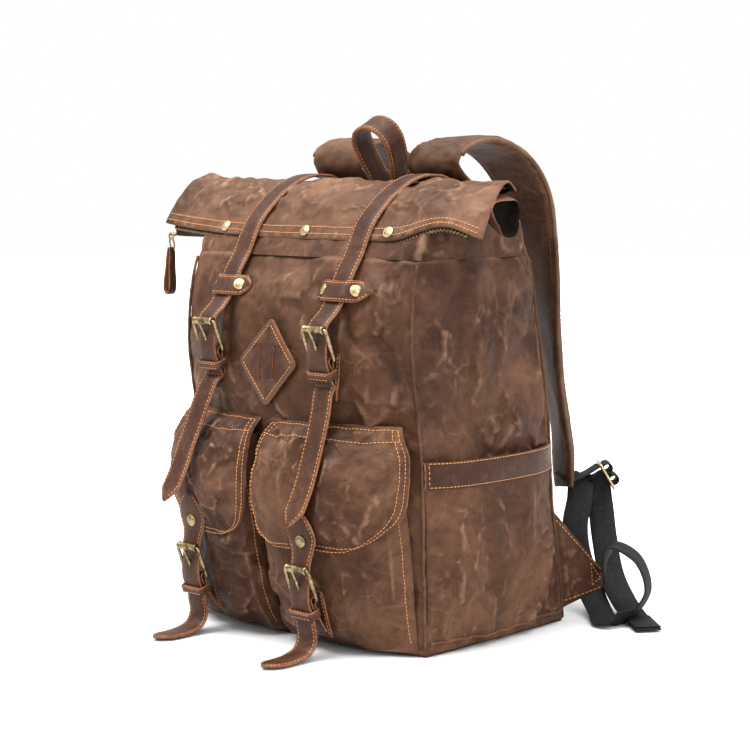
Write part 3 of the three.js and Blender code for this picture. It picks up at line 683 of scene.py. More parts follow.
CAP = [(0.1, -1.2), (5.0, -1.0), (6.2, -0.2), (6.4, 0.5), (6.0, 1.2), (5.2, 1.3), (4.6, 1.1), (4.0, 1.5), (2.4, 2.1),
       (0.6, 2.3)]


def studs(name, places, body, size, material="pale_brass", rise=0.0):
    """Domed snap or rivet caps, each at a point with its outward direction."""
    cap = [(r * size, h * size) for r, h in CAP]
    make(name, *join_parts([lathe_parts(cap, p + n * rise, n) for p, n in places]), [material], body)


STITCHES = {}


def sew(body, points, normal, material="thread", pitch=3.6, length=2.8, radius=0.36):
    """Lays a row of stitches along points that lie on a surface with the given normals."""
    points, normal = np.asarray(points, float), np.asarray(normal, float)
    steps = np.linalg.norm(np.diff(points, axis=0), axis=1)
    s = np.concatenate([[0], np.cumsum(steps)])
    count = int(s[-1] // pitch)
    if count < 1:
        return
    mid = (np.arange(count) + 0.5) * s[-1] / count
    pick = [between(mid + d, s, points)[0] for d in (-length / 2, 0, length / 2)]
    up = unit(between(mid, s, normal)[0])
    STITCHES.setdefault((body, material), []).append((pick, up, radius))


def finish_stitches():
    """Makes every row of stitches on a body, in one thread, into one piece."""
    sides = 6
    angle = circle(sides)
    one = np.array(rings(4, sides)[:-2])
    ends = np.array(rings(4, sides)[-2:])
    for (body, material), rows in STITCHES.items():
        verts, faces, base = [], [], 0
        for (a, m, b), up, radius in rows:
            side = unit(np.cross(unit(b - a), up))
            sections = ((a, 0.45, -0.35), (mix(a, m, 0.45), 1.0, 0.25), (mix(b, m, 0.45), 1.0, 0.25), (b, 0.45, -0.35))
            block = []
            for centre, share, rise in sections:
                c = centre + up * radius * rise
                block.append(c[:, None] + (np.cos(angle)[None, :, None] * side[:, None]
                             + np.sin(angle)[None, :, None] * up[:, None]) * radius * share)
            verts.append(np.stack(block, 1).reshape(-1, 3))
            for _ in range(len(a)):
                faces += (one + base).tolist() + (ends + base).tolist()
                base += 4 * sides
        make(f"stitches_{body}_{material}", np.concatenate(verts), faces, [material], body)


def on_grid(grid, u, v, flip=False, rise=0.0):
    """Points and normals on a grid at the shares u across and v along."""
    n = normals(grid, flip)
    u, v = np.broadcast_arrays(np.asarray(u, float), np.asarray(v, float))
    i = np.clip(u, 0, 1) * (grid.shape[0] - 1)
    j = np.clip(v, 0, 1) * (grid.shape[1] - 1)
    i0 = np.clip(np.floor(i).astype(int), 0, grid.shape[0] - 2)
    j0 = np.clip(np.floor(j).astype(int), 0, grid.shape[1] - 2)
    fi, fj = (i - i0)[..., None], (j - j0)[..., None]

    def pick(field):
        return ((field[i0, j0] * (1 - fi) + field[i0 + 1, j0] * fi) * (1 - fj)
                + (field[i0, j0 + 1] * (1 - fi) + field[i0 + 1, j0 + 1] * fi) * fj)
    up = unit(pick(n))
    return pick(grid) + up * rise, up


def sew_on(body, grid, u, v, flip, rise, **kw):
    sew(body, *on_grid(grid, u, v, flip, rise), **kw)


def grid_of(surface, nu, nv):
    """surface(u, v) gives points for arrays u and v in 0..1."""
    u, v = np.meshgrid(np.linspace(0, 1, nu), np.linspace(0, 1, nv), indexing="ij")
    return surface(u, v)


def points(x, y, z):
    return np.stack(np.broadcast_arrays(x, y, z), -1).astype(float)


# ---------------------------------------------------------------- camera, floor and light

CAMERA_AT = (1.2285, -1.2909, 0.4253)
CAMERA_TURN, CAMERA_DIP = math.radians(43.79), math.radians(6.04)
CAMERA_LENS = 89.67
# Name, place, spread in degrees and strength.
LAMPS = (("key", (-0.4, -0.7, 1.9), 34, 5.0), ("top", (0.25, 0.2, 2.3), 60, 3.4), ("side", (1.8, -0.1, 1.1), 60, 1.6))


def stage():
    camera = bpy.data.objects.new("camera", bpy.data.cameras.new("camera"))
    bpy.context.scene.collection.objects.link(camera)
    camera.data.lens = CAMERA_LENS
    camera.data.sensor_width = 36
    camera.location = CAMERA_AT
    level = math.cos(CAMERA_DIP)
    look = Vector((-math.sin(CAMERA_TURN) * level, math.cos(CAMERA_TURN) * level, -math.sin(CAMERA_DIP)))
    camera.rotation_euler = look.to_track_quat("-Z", "Y").to_euler()
    bpy.context.scene.camera = camera

    bpy.ops.mesh.primitive_plane_add(size=14)
    floor = bpy.context.object
    floor.name = "floor"
    plain = bpy.data.materials.new("floor")
    plain.use_nodes = True
    shader = plain.node_tree.nodes["Principled BSDF"]
    shader.inputs["Base Color"].default_value = (0.6, 0.6, 0.6, 1)
    shader.inputs["Roughness"].default_value = 0.85
    shader.inputs["Specular IOR Level"].default_value = 0.1
    floor.data.materials.append(plain)

    world = bpy.data.worlds.new("studio")
    world.use_nodes = True
    world.node_tree.nodes["Background"].inputs["Color"].default_value = (1, 1, 1, 1)
    world.node_tree.nodes["Background"].inputs["Strength"].default_value = 1.0
    bpy.context.scene.world = world
    for name, place, spread, power in LAMPS:
        lamp = bpy.data.objects.new(name, bpy.data.lights.new(name, "SUN"))
        bpy.context.scene.collection.objects.link(lamp)
        lamp.data.angle = math.radians(spread)
        lamp.data.energy = power
        lamp.location = place
        lamp.rotation_euler = (Vector((0, 0, 0.22)) - lamp.location).to_track_quat("-Z", "Y").to_euler()
    bpy.context.scene.view_settings.view_transform = "Standard"


stage()

# ---------------------------------------------------------------- body panels


def body_panels():
    def front(u, v):
        z = mix(PANEL_FOOT, FRONT_TOP, v)
        x = mix(-1, 1, u) * half_width(z)
        return points(x, front_y(x, z) + tuck(z), z)
    plain = grid_of(front, 56, 66)
    grid = weather(crumple(plain, 0.045, cap=(2.0, 3.0), seed=1.3), cell=40, slope=0.2, seed=3.0)
    # The leather diamond holds the cloth flat behind it.
    plain = finer(plain)
    held = np.exp(-((np.abs(plain[..., 0]) + np.abs(plain[..., 2] - DIAMOND_Z)) / 52) ** 4)[..., None]
    grid = mix(grid, plain, held)
    sheet("front_shell", grid, CANVAS, "bag", replaces=["front_panel"])

    def back(u, v):
        z = mix(PANEL_FOOT, BACK_TOP, v)
        x = mix(1, -1, u) * half_width(z)
        return points(x, back_y(x, z) - tuck(z), z)
    grid = grid_of(back, 56, 66)
    u, v = shares(56, 66)
    # The padded back is quilted into three tall channels.
    channel = sum(bell(u, c, 0.012) for c in (0.3, 0.7)) * rise_to(v - 0.06, 9)
    n = normals(grid)
    soft = 1.2 * fractal(grid / 40) + 0.8 * creases(grid / 48) - 2.4 * channel * rise_to(0.9 - v, 9)
    grid = weather(grid + n * soft[..., None], cell=38, slope=0.1, seed=9.0)
    sheet("back_shell", grid, BACK_PAD, "bag", replaces=["back_panel"])

    for side, sign in SIDES:
        def flank(u, v):
            z = mix(PANEL_FOOT, FRONT_TOP, v)
            y = mix(corner_front(z) + 0.6, corner_back(z) - 0.6, u)
            return points(sign * (side_x(y, z) - tuck(z)), y, z)
        grid = grid_of(flank, 40, 66)
        # The side sags between the base and the roll-top: two long slack folds and a pinch.
        u, v = shares(40, 66)
        slack = sum(size * bell(u + slant * v, at, width) * np.clip(v - low, 0, 1) * 2
                    for size, slant, at, width, low in ((5.5, 0.35, 0.74, 0.1, 0.5), (-6, -0.25, 0.1, 0.07, 0.58),
                                                        (-5, 0.5, 1.08, 0.06, 0.62)))
        slack = slack * rise_to(np.minimum(u, 1 - u), 8) * rise_to(1 - v, 10)
        shaped = grid + normals(grid, sign < 0) * slack[..., None]
        shaped = crumple(shaped, 0.045, flip=sign < 0, cap=(2.5, 3.5), seed=4.1 + sign)
        shaped = weather(shaped, sign < 0, cell=40, slope=0.22, seed=5.0 * sign, stretch=(1, 1, 0.8))
        sheet(f"side_shell_{side}", shaped, CANVAS, "bag", replaces=[f"side_panel_{side}"], flip=sign < 0)


body_panels()


def seams():
    """Raised seams down the four corners and round the base."""
    z = np.linspace(6, 346, 90)
    for side, sign in SIDES:
        for end, corner, wave, out, depth, size, vary, wear in (
                ("front", corner_front, 1.1, 0.6, -0.9, 1.5, 0.5, 0.12),
                ("back", corner_back, 0.9, 0.4, 0.6, 1.8, 0.4, 0.15)):
            line = points(sign * half_width(z), corner(z), z)
            wobble = fractal(line / 14) * wave
            line = line + points(sign * (out + wobble), depth + wobble * 0.5, 0 * wobble)
            tube(f"corner_seam_{end}_{side}", line, size + vary * fractal(line / 9), "bag", "canvas", wear=wear)
    half = half_width(0)
    xs = np.linspace(-half, half, 40)
    ys = np.linspace(corner_front(0), corner_back(0), 26)[1:-1]
    outline = ([(x, front_y(x, 0)) for x in xs] + [(half, y) for y in ys]
               + [(x, back_y(x, 0)) for x in xs[::-1]] + [(-half, y) for y in ys[::-1]])
    ring = np.array([(x, y, 4.2) for x, y in outline])
    tube("base_welt", ring, 2.2 + 0.25 * fractal(ring / 12), "bag", "canvas", sides=8, closed=True, wear=0.15)
    # The base is one panel lying flat on the floor.
    rows = [np.array([(x * s, y * s, 0.05) for x, y in outline]) for s in (1.0, 0.9, 0.6, 0.3, 0.02)]
    verts = np.concatenate(rows[::-1] + [row + [0, 0, BASE_THICK] for row in rows])
    make("base_cloth", verts, rings(2 * len(rows), len(ring)), ["canvas"], "bag", replaces=["base_panel"],
         wear=np.zeros(len(verts)))


seams()

# ---------------------------------------------------------------- roll-top

COLLAR_FOOT = 350.0
FLAP_MIDDLE = Path([(-12.4, 417.6), (-30, 416.5), (-48, 412.5), (-66, 404), (-82, 392), (-95, 379), (-103, 366.5)])
FLAP_LEFT = Path([(-20, 415), (-36, 421), (-50, 421), (-66, 413), (-81, 400), (-91, 388.5), (-98, 377)])
FLAP_RIGHT = Path([(-20, 411), (-32, 415.5), (-44, 411), (-55, 399), (-65, 386), (-72, 375), (-77, 364)])
# Half the flap's length at its crest and at its hem, on the left and on the right.
FLAP_HALF = {-1: (194, 202), 1: (182, 190)}


def collar(name, front, node):
    """Half of the bag's mouth: it leaves the body's outline upright and closes to a flat, wider edge."""
    z0 = COLLAR_FOOT
    corner = corner_front if front else corner_back
    face_y = front_y if front else back_y

    def surface(u, v):
        across = mix(-1, 1, u)
        s = np.abs(across)
        way = np.sign(across)
        t = np.clip((s - 0.7) / 0.3, 0, 1)
        x = np.where(s < 0.7, s / 0.7 * half_width(z0), 0)
        y_side = mix(corner(z0), -28, t)
        proud = 0.8
        foot_x = np.where(s < 0.7, x, side_x(y_side, z0) + proud * np.clip(t * 6, 0, 1)) * way
        foot_y = np.where(s < 0.7, face_y(x, z0), y_side) + (-proud if front else proud) * (1 - t)
        top_y = mix(-16.5 if front else -11.5, -21, s ** 4)
        top_z = mix(408.5 if front else 415.5, 409, s ** 4)
        turn = v * np.pi / 2
        rise = np.sin(turn)
        lean = 0.3 * (1 - np.clip(s / 0.72, 0, 1) ** 3)
        inward = mix((1 - np.cos(turn)) ** 0.9, rise, lean if front else 0)
        top_x = across * (172 if front else 180)
        return points(mix(foot_x, top_x, inward), mix(foot_y, top_y, inward), mix(z0, top_z, rise))
    grid = grid_of(surface, 90, 20)
    ends = np.abs(np.linspace(-1, 1, 179))[:, None] ** 3
    fade = edge_fade((179, 39), 14) * (mix(0.3, 1, ends) if front else 1)
    grid = weather(grid, not front, cell=30, slope=0.16, seed=14.0 + front, fade=fade)
    feather = 0.3 + 1.5 * np.clip(np.linspace(0, 1, 39)[None, :] * 7, 0, 1) + 0 * fade
    sheet(name, grid, 1.8, "bag", replaces=[node], flip=not front, thick=feather, rim_wear=0.0)


def flap_surface(u, v):
    across = mix(-1, 1, u)
    x = across * np.where(across < 0, mix(*FLAP_HALF[-1], v), mix(*FLAP_HALF[1], v ** 0.6))
    end = np.where((across < 0)[..., None], FLAP_LEFT.at(v), FLAP_RIGHT.at(v))
    p = mix(FLAP_MIDDLE.at(v), end, (np.abs(across) ** np.where(across < 0, mix(5, 2.2, v), 6))[..., None])
    # The right half of the hem lifts before its tip curls under.
    lift = 15 * bell(x, 158, 32) * v ** 2.5
    return points(x, p[..., 1] + 0.25 * lift, p[..., 2] + lift)


def roll_end(side, sign):
    """The open end of the rolled mouth: a soft cuff whose inside closes into a dark cap of painted shade, standing in
    for the shade inside the roll.
    """
    count = 40
    a = circle(count)
    # Place along the roll, size, and 0 outside, 1 on the rim or 2 inside.
    rows = [(150, 0.4, 0), (160, 0.7, 0), (172, 0.9, 0), (184, 1.0, 0), (190, 1.04, 0), (192, 1.0, 1), (190, 0.93, 2),
            (183, 0.86, 2), (178, 0.7, 2), (175, 0.4, 2), (174, 0.02, 2)]
    verts = []
    for x, share, _ in rows:
        dents = perlin(points(2 * np.cos(a), 2 * np.sin(a), sign + 4.5))
        lobe = share * (1 + 0.17 * np.cos(3 * (a - 1.1)) + 0.12 * dents)
        wide, tall = 17 * lobe * np.cos(a), 15.5 * lobe * np.sin(a)
        droop = 0.35 * (x - 150)
        ring = points(sign * (x + 0 * a), -34 - 0.22 * (x - 150) + wide + 0.4 * tall, 402 - droop + tall - 0.4 * wide)
        bend = 1.6 * fractal(ring / 15 + sign) * min(share, 1)
        ring = ring + points(sign * 1.5 * np.cos(3 * a + 1) * (share > 0.8), np.cos(a) * bend, np.sin(a) * bend)
        verts.append(ring)
    # The rim and the inside rings take the dark colour: the inside rings close into a cap of painted shade for the
    # roll's hollow.
    index = [1 if kind else 0 for _, _, kind in rows[:-1] for _ in range(count)] + [0, 1]
    wear = np.repeat([0.8 if kind == 1 else 0.15 if kind == 0 else 0.0 for _, _, kind in rows], count)
    make(f"roll_end_{side}", np.concatenate(verts), rings(len(rows), count), ["canvas", "lining"], "roll_top", index,
         wear=wear, subdivide=1)


def roll_top():
    collar("collar_front_cloth", True, "collar_front")
    collar("collar_rear_cloth", False, "collar_rear")
    for side, sign in SIDES:
        roll_end(side, sign)
    grid = grid_of(flap_surface, 84, 30)
    u, v = shares(84, 30, -1)
    n = normals(grid, True)
    # Folds drawn in at each strap, a hem that sinks between the snaps, and a drooping right end.
    pinch = sum(bell(u * 200, c, 13) for c in (-STRAP_X, STRAP_X))
    puff = 3.2 * (1 - pinch) * np.sin(np.pi * np.clip(v, 0, 0.86) / 0.86) ** 1.2
    line = np.abs(u * 198 + mix(162, 126, v)) / 2.6
    crease = -3.4 * bell(line, 0, 1) * rise_to(0.8 - v, 8) * rise_to(v, 9)
    calm = np.clip((0.86 - v) * 6, 0.15, 1)
    rough = 1.9 * (creases(grid / 34 + 3) - 0.2) + 1.3 * fractal(grid / 17)
    grid = grid + n * (rough * calm + puff + crease)[..., None]
    grid = grid + (crumple(grid, 0.035, flip=True, cap=(1.5, 3.0), seed=8.2) - grid) * calm[..., None]
    calm = np.clip((0.86 - shares(167, 59)[1]) * 6, 0.15, 1)
    grid = weather(grid, True, cell=30, slope=0.13, seed=2.0, fade=edge_fade((167, 59)) * calm)
    piece = sheet("roll_cloth", grid, 2.6, "", "canvas_lit_roll", "lining", replaces=["roll_flap"], flip=True)
    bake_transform(piece)
    return grid


FLAP = roll_top()


def teeth(name, places, tooth, body):
    sides = [[0, 1, 3, 2], [4, 6, 7, 5], [0, 4, 5, 1], [2, 3, 7, 6], [0, 2, 6, 4], [1, 5, 7, 3]]
    verts, faces = join_parts([(p + tooth, sides) for p in places])
    make(name, verts, faces, ["zip_brass"], body, smooth=False)


def hem():
    """The hem band with its two rows of stitches, the snaps, and the zip's tape and teeth."""
    us = np.linspace(0.005, 0.995, 110)
    rows = np.linspace(0.885, 1.0, 6)
    grid, up = on_grid(FLAP, us[:, None], rows[None, :], True)
    waves = np.sin(us * 190 + 3 * perlin(points(us * 40, 0, 0)))
    ripple = 0.5 * waves[:, None] * np.sin(np.linspace(0, np.pi, len(rows)))[None, :]
    grid = grid + up * (1.0 + 0.6 * ripple)[..., None]
    grid[:, -1] += np.array([0, 0.5, -1.2])
    sheet("hem_band", grid, 1.6, "roll_top", "canvas_lit_roll", "lining", flip=True)
    for v in (0.13, 0.68):
        sew_on("roll_top", grid, us, v, True, 0.15, radius=0.42)
    places = [on_grid(grid, (x / 200 + 1) / 2, 0.5, True) for x in (-110, 0, 110)]
    studs("hem_snaps", places, "roll_top", 0.86, rise=0.6)
    # Zip tape and two rows of teeth under the hem.
    line, _ = on_grid(FLAP, np.linspace(0.03, 0.97, 160), 1.0, True)
    down = np.array([0, 0.25, -0.97])
    # It hangs lower at the left, where the slider rests.
    slack = 5 * np.clip(1 - np.linspace(0, 1, 160) / 0.14, 0, 1)[:, None]
    tape = np.stack([line + down * (d + slack * max(d, 0) / 7.4) + np.array([0, 2.2, 0]) for d in (-2, 3.5, 7.4)], 1)
    sheet("zip_tape", tape, 1.0, "roll_top", "tape", "tape", replaces=["zip_chain"], flip=True)
    steps = np.linalg.norm(np.diff(line, axis=0), axis=1)
    s = np.concatenate([[0], np.cumsum(steps)])
    at = np.arange(2, s[-1] - 2, 1.7)
    shift = 4.6 + np.where(np.arange(len(at)) % 2, 0.5, -0.5)
    places = between(at, s, line)[0] + down * shift[:, None] + np.array([0, 1.3, 0])
    tooth = np.array([(x, y, z) for x in (-0.6, 0.6) for y in (-0.8, 0.9) for z in (-1.2, 1.2)])
    tooth[:, 2] *= np.where(tooth[:, 1] < 0, 0.7, 1)
    teeth("zip_teeth", places, tooth, "roll_top")


hem()


def zip_pulls():
    x0 = -188
    ts = np.linspace(0, 1, 12)
    path = Path([(x0 + x, -99, 365.3) for x in (-4.5, -3.2, 3.2, 4.5)])
    tube("zip_slider_body", path.at(ts), np.interp(ts, [0, 0.2, 0.8, 1], [1.9, 3.1, 2.8, 1.5]), "zip_slider",
         "zip_brass", sides=12, flat=0.62, normal=(0, 0, 1), replaces=["zip_slider"])
    a = circle(24)
    tube("zip_slider_bridge", points(x0 + 3.4 * np.cos(a), -102.2, 363.7 + 2.8 * np.sin(a)), 0.9,
         "zip_slider", "zip_brass", sides=8, closed=True)
    ring = points(x0 + 3.12 * np.sin(a), -101.5 - 1.2 * np.cos(a), 356.1 + 6.2 * np.cos(a))
    tube("zip_ring", ring, 0.9, "zip_pull", "zip_brass", sides=8, closed=True)
    # One strip of leather folded through the ring into a long loop, raw side in.
    route = [(-1.2, 352.5), (-2.6, 345), (-3.8, 331), (-5.8, 318), (-5.0, 310), (-1.6, 307), (1.6, 310), (2.4, 318),
             (1.6, 331), (1.6, 345), (0.8, 352.5)]
    path = Path([(x0 - 1 + a, -102 + 0.02 * (z - 343), z) for a, z in route])
    ribbon("zip_loop", path, lambda t: 8.0 + 2.5 * math.sin(math.pi * t), 1.6, (0.12, -1, 0), 60, "zip_pull",
           replaces=["zip_pull"], back="leather_edge")


zip_pulls()

# ---------------------------------------------------------------- buckles and straps

PITCH = 30.0
BUCKLE_W = 33.0
ROLLER_LONG = 24.6


class Buckle:
    """A roller buckle in its own plane: across, along it from the lower bar up, and out of it."""

    def __init__(self, x, roller_y, roller_z, lean):
        self.x = x
        self.along = np.array((0, -math.sin(lean), math.cos(lean)))
        self.out = np.array((0, -math.cos(lean), -math.sin(lean)))
        self.centre = np.array((x, roller_y, roller_z)) - self.along * PITCH / 2

    def place(self, across, along, out):
        across, along, out = np.broadcast_arrays(*(np.asarray(v, float) for v in (across, along, out)))
        return (self.centre + across[..., None] * np.array((1.0, 0, 0)) + along[..., None] * self.along
                + out[..., None] * self.out)

    def yz(self, along, out):
        p = self.place(0, along, out)
        return (p[1], p[2])

    def strap_route(self):
        return [self.yz(15, -5.4), self.yz(5, -1.6), self.yz(-5, 3.6), self.yz(-15, 6.6), self.yz(-30.6, 6)]


def rounded_rectangle(w, h, r, count=8):
    corner = []
    for cx, cy, a0 in ((w - r, h - r, 0), (-w + r, h - r, 90), (-w + r, -h + r, 180), (w - r, -h + r, 270)):
        for k in range(count + 1):
            a = math.radians(a0 + 90 * k / count)
            corner.append((cx + r * math.cos(a), cy + r * math.sin(a)))
    dense = []
    for k, (x, y) in enumerate(corner):
        nx, ny = corner[(k + 1) % len(corner)]
        gap = math.hypot(nx - x, ny - y)
        pieces = max(1, int(gap / 3.5))
        dense += [(mix(x, nx, i / pieces), mix(y, ny, i / pieces)) for i in range(pieces)]
    return dense


def buckle_metal(b, kind, side, body):
    """The frame with its cast shoulders, the turning roller and the tongue."""
    outline = rounded_rectangle(BUCKLE_W / 2 - 1.6, PITCH / 2, 3.4)
    line = b.place([p[0] for p in outline], [p[1] for p in outline], 0.0)
    height = np.array([p[1] for p in outline])
    tube(f"{kind}_frame_{side}", line, 1.62 + 0.3 * bell(height, 0, 6), f"{body}_frame_{side}", "antique_brass", sides=12, closed=True,
         normal=b.out, flat=0.92, replaces=[f"{kind}_buckle_frame_{side}"], wear=0.4)
    half = ROLLER_LONG / 2
    end = [(2.55, half), (3.5, half - 0.1), (3.75, half - 0.9), (3.45, half - 1.6)]
    outline = [(radius, -x) for radius, x in end] + [(3.5, 0)] + end[::-1]
    # It is a rolled tube, so the outline comes back through its inside and closes on itself.
    outline += [(2.5, half), (2.5, -half)]
    verts, _ = lathe_parts(outline, b.place(0, PITCH / 2, 0), (1, 0, 0), 24)
    make(f"{kind}_roller_{side}", verts, rings(len(outline), 24, caps=False, loop=True), ["antique_brass"],
         f"{body}_roller_{side}", replaces=[f"{kind}_buckle_roller_{side}"])
    a = np.linspace(math.radians(55), math.radians(330), 14)
    eye = [(-15 + 3.0 * math.sin(t), 3.0 * math.cos(t)) for t in a[::-1]]
    prong = [(-13.2, 2.9), (-9, 3.3), (-2, 3.4), (5, 3.8), (11, 4.7), (15, 5.3), (18.6, 4.7)]
    route = Path([(p[0], p[1], 0.0) for p in eye + prong])
    at = route.at(np.linspace(0, 1, 46))
    wide = np.interp(np.linspace(0, 1, 46), [0, 0.3, 0.45, 0.9, 1], [0.85, 0.95, 1.35, 1.15, 0.45])
    tube(f"{kind}_tongue_{side}", b.place(0 * at[:, 0], at[:, 0], at[:, 1]), wide, f"{body}_tongue_{side}",
         "antique_brass", sides=10, normal=(1, 0, 0), replaces=[f"{kind}_buckle_tongue_{side}"], wear=0.4)


def loop_band(name, b, along, body):
    """A leather keeper that runs round the strap just below the buckle."""
    outline = rounded_rectangle(13.9, 5.6, 2.6, 5)
    count, half, middle = len(outline), 3.75, 4.6
    xs, out = np.array(outline).T
    # Place along the strap, and size across and outwards.
    rows = [(a, 1 + grow / 14, 1 + grow / 5.6)
            for a, grow in ((-half, 0), (0.5 - half, 0.9), (half - 0.5, 0.9), (half, 0))]
    rows += [(half, 0.93, 0.8), (-half, 0.93, 0.8)]
    verts = np.concatenate([b.place(xs * wide, along + a, out * deep + middle) for a, wide, deep in rows])
    index = [0 if row in (1, 4) else 1 for row in range(len(rows)) for _ in range(count)]
    make(name, verts, rings(len(rows), count, caps=False, loop=True), ["leather", "leather_edge"], body, index,
         wear=np.full(len(verts), 0.25))
    for a in (1.5 - half, half - 1.5):
        sew(body, b.place(np.linspace(-11.5, 11.5, 20), along + a, 11.0), np.tile(b.out, (20, 1)), length=2.7)


def edge_stitches(stand, body, ts, half, inset=2.5, **kw):
    for sign in (-1, 1):
        offset = sign * (half - inset) if not callable(half) else sign * np.maximum(half(ts) - inset, 0.3)
        sew(body, *stand(ts, offset), radius=0.34, **kw)


def punched(name, stand, ts, body):
    """Strap holes: shallow cups with a pressed lip, coloured near-black as painted shade for the depth of each hole."""
    outline = [(2.125, 0.0), (1.904, 0.12), (1.7, 0.02), (1.275, -0.35), (0.2, -0.5)]
    parts = [lathe_parts(outline, *stand(t, 0.0), 14) for t in ts]
    make(name, *join_parts(parts), ["hole"], body)


CLOSURE_REAR = [(52, 343), (50.8, 368), (32, 394), (9, 411), (-11.7, 419.4)]
CLOSURE_FRONT = [(-12.3, 419.4), (-30, 418.4), (-49, 414.4), (-67.4, 405.4), (-83.4, 393.4), (-96.6, 380.2),
                 (-105, 366.5), (-112.5, 352), (-123, 337), (-131, 322), (-142, 306)]
TAIL = {"left": [(-154, 234), (-164, 216), (-173.5, 195), (-182.5, 178), (-190.5, 160), (-201, 142), (-212, 128)],
        "right": [(-151.5, 234), (-155.5, 216), (-161.5, 196), (-168.5, 175), (-176, 154), (-185, 136), (-194.5, 121)]}
ACROSS = (1.0, 0.0, 0.0)


def strap_tip(t):
    """The share of its width that a closure strap keeps towards its blunt point."""
    return np.clip((1 - t) / 0.11, 0, 1) ** 0.75


def closure(side, sign):
    x = sign * STRAP_X
    b = Buckle(x, -162, 290, 0.375)
    body = f"closure_{side}"
    whole = Path(CLOSURE_REAR[:-1] + [(-4, 417.2)] + CLOSURE_FRONT[1:] + b.strap_route() + [b.yz(-34.4, 6)], x)
    reach = Path(CLOSURE_REAR, x).length / whole.length
    drift = profile([(0, 0), (0.14, 0.4), (0.235, 6.5), (0.33, 7.0), (0.43, 2.5), (0.6, 1.2), (1, 0)])
    piece, stand = ribbon(f"closure_strap_{side}", whole, STRAP_W, 2.4, ACROSS, 120, "",
                          replaces=[f"closure_strap_rear_{side}", f"closure_strap_front_{side}"], crown=0.5,
                          lift=lambda t: drift(t) * 0.6)
    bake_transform(piece)
    edge_stitches(stand, "bag", np.linspace(0.012, reach - 0.01, 60), 12)
    edge_stitches(stand, body, np.linspace(reach + 0.03, 0.875, 130), 12)
    # The strap's end, from the loop down to its pointed tip.
    tail = Path([b.yz(-33.6, 6), b.yz(-37.5, 6)] + TAIL[side], x)
    tail.points[:, 0] += sign * 1.5 * np.sin(np.linspace(0, np.pi, len(tail.points)))
    _, stand = ribbon(f"closure_tail_{side}", tail, lambda t: 1.2 + (STRAP_W - 1.2) * strap_tip(t), 2.4, ACROSS, 70,
                      f"closure_tail_{side}", replaces=[f"closure_strap_tail_{side}"], crown=0.5)
    edge_stitches(stand, f"closure_tail_{side}", np.linspace(0.03, 0.985, 90),
                  lambda t: 0.6 + (STRAP_W / 2 - 0.6) * strap_tip(t))
    punched(f"closure_holes_{side}", stand, (0.22, 0.39, 0.56), f"closure_tail_{side}")
    buckle_metal(b, "closure", side, "closure")
    chape(b, "closure", side, body, [(-146.2, 247), (-145.2, 236), (-144.8, 227)])
    patch(f"closure_patch_{side}", x, lambda z: float(front_y(x, z)) - 1.4, 268, 228)
    keeper(x, side, body)


def chape(b, kind, side, body, tail):
    """Leather that folds round the lower bar. Its loop holds the strap's end."""
    bar, r = b.place(0, -15, 0), 3.35
    turn = [tuple((bar + b.out * r * math.cos(a) + b.along * r * math.sin(a))[1:])
            for a in np.radians(np.linspace(200, -20, 9))]
    path = Path(tail[::-1] + [b.yz(-18.2, -0.8)] + turn + [b.yz(-19, 2.9), b.yz(-25, 1.9), b.yz(-33, 1.4)], b.x)
    _, stand = ribbon(f"{kind}_chape_{side}", path, 23.0, 1.7, ACROSS, 60, body, replaces=[f"{kind}_chape_{side}"])
    loop_band(f"{kind}_loop_{side}", b, -26, body)
    edge_stitches(stand, body, np.linspace(0.02, 0.42, 30), 9.2, 0)
    # One half of a hidden magnetic snap.
    studs(f"{kind}_magnet_{side}", [(np.array((b.x, *tail[0])), b.out)], body, 0.62, rise=1.6)


def patch(name, x, face, z_top, z_low):
    """The leather patch on the bag where the other half of the hidden snap sits; only the patch and its stitches are
    drawn.
    """
    path = Path([(face(z) - 1.8 - (2.5 if k == 2 else 0), z) for k, z in enumerate(np.linspace(z_top, z_low, 3))], x)
    _, stand = ribbon(name, path, lambda t: 21.0 * min(1, 0.8 + 4 * t), 2.0, ACROSS, 24, "bag")
    edge_stitches(stand, "bag", np.linspace(0.05, 0.95, 20), 10.5)


def keeper(x, side, body):
    """A leather bridge over the strap, riveted at one end and snapped at the other."""
    def lying(dx):
        return front_y(x + dx, 322.4) - 3.4
    top = -135.9
    route = [(-23.5, lying(-23.5)), (-18, lying(-18) - 0.6), (-13.8, mix(top, lying(-14), 0.35)), (-9, top),
             (0, top - 0.5), (9, top), (13.8, mix(top, lying(14), 0.3)), (18.5, lying(18.5) - 1.0),
             (25, lying(25) - 0.3), (31, lying(31))]
    path = Path([(x + dx, y, 322.4) for dx, y in route])
    width = lambda t: 20.0 * min(1.0, (max(0.0, 1 - t) / 0.16 + 0.02) ** 0.5) * min(1.0, 0.75 + 5 * t)
    _, stand = ribbon(f"keeper_{side}", path, width, 2.2, (0, 0.5, 0.866), 64, body,
                      replaces=[f"strap_keeper_{side}"], crown=0.3)
    edge_stitches(stand, body, np.linspace(0.03, 0.97, 60), lambda ts: np.array([width(t) / 2 for t in ts]), 2.2,
                  pitch=3.2, length=2.5)
    studs(f"keeper_rivets_{side}", [stand(t, 0.0) for t in (0.1, 0.76)], body, 0.86, rise=0.4)


for side, sign in SIDES:
    closure(side, sign)

# ---------------------------------------------------------------- front pockets

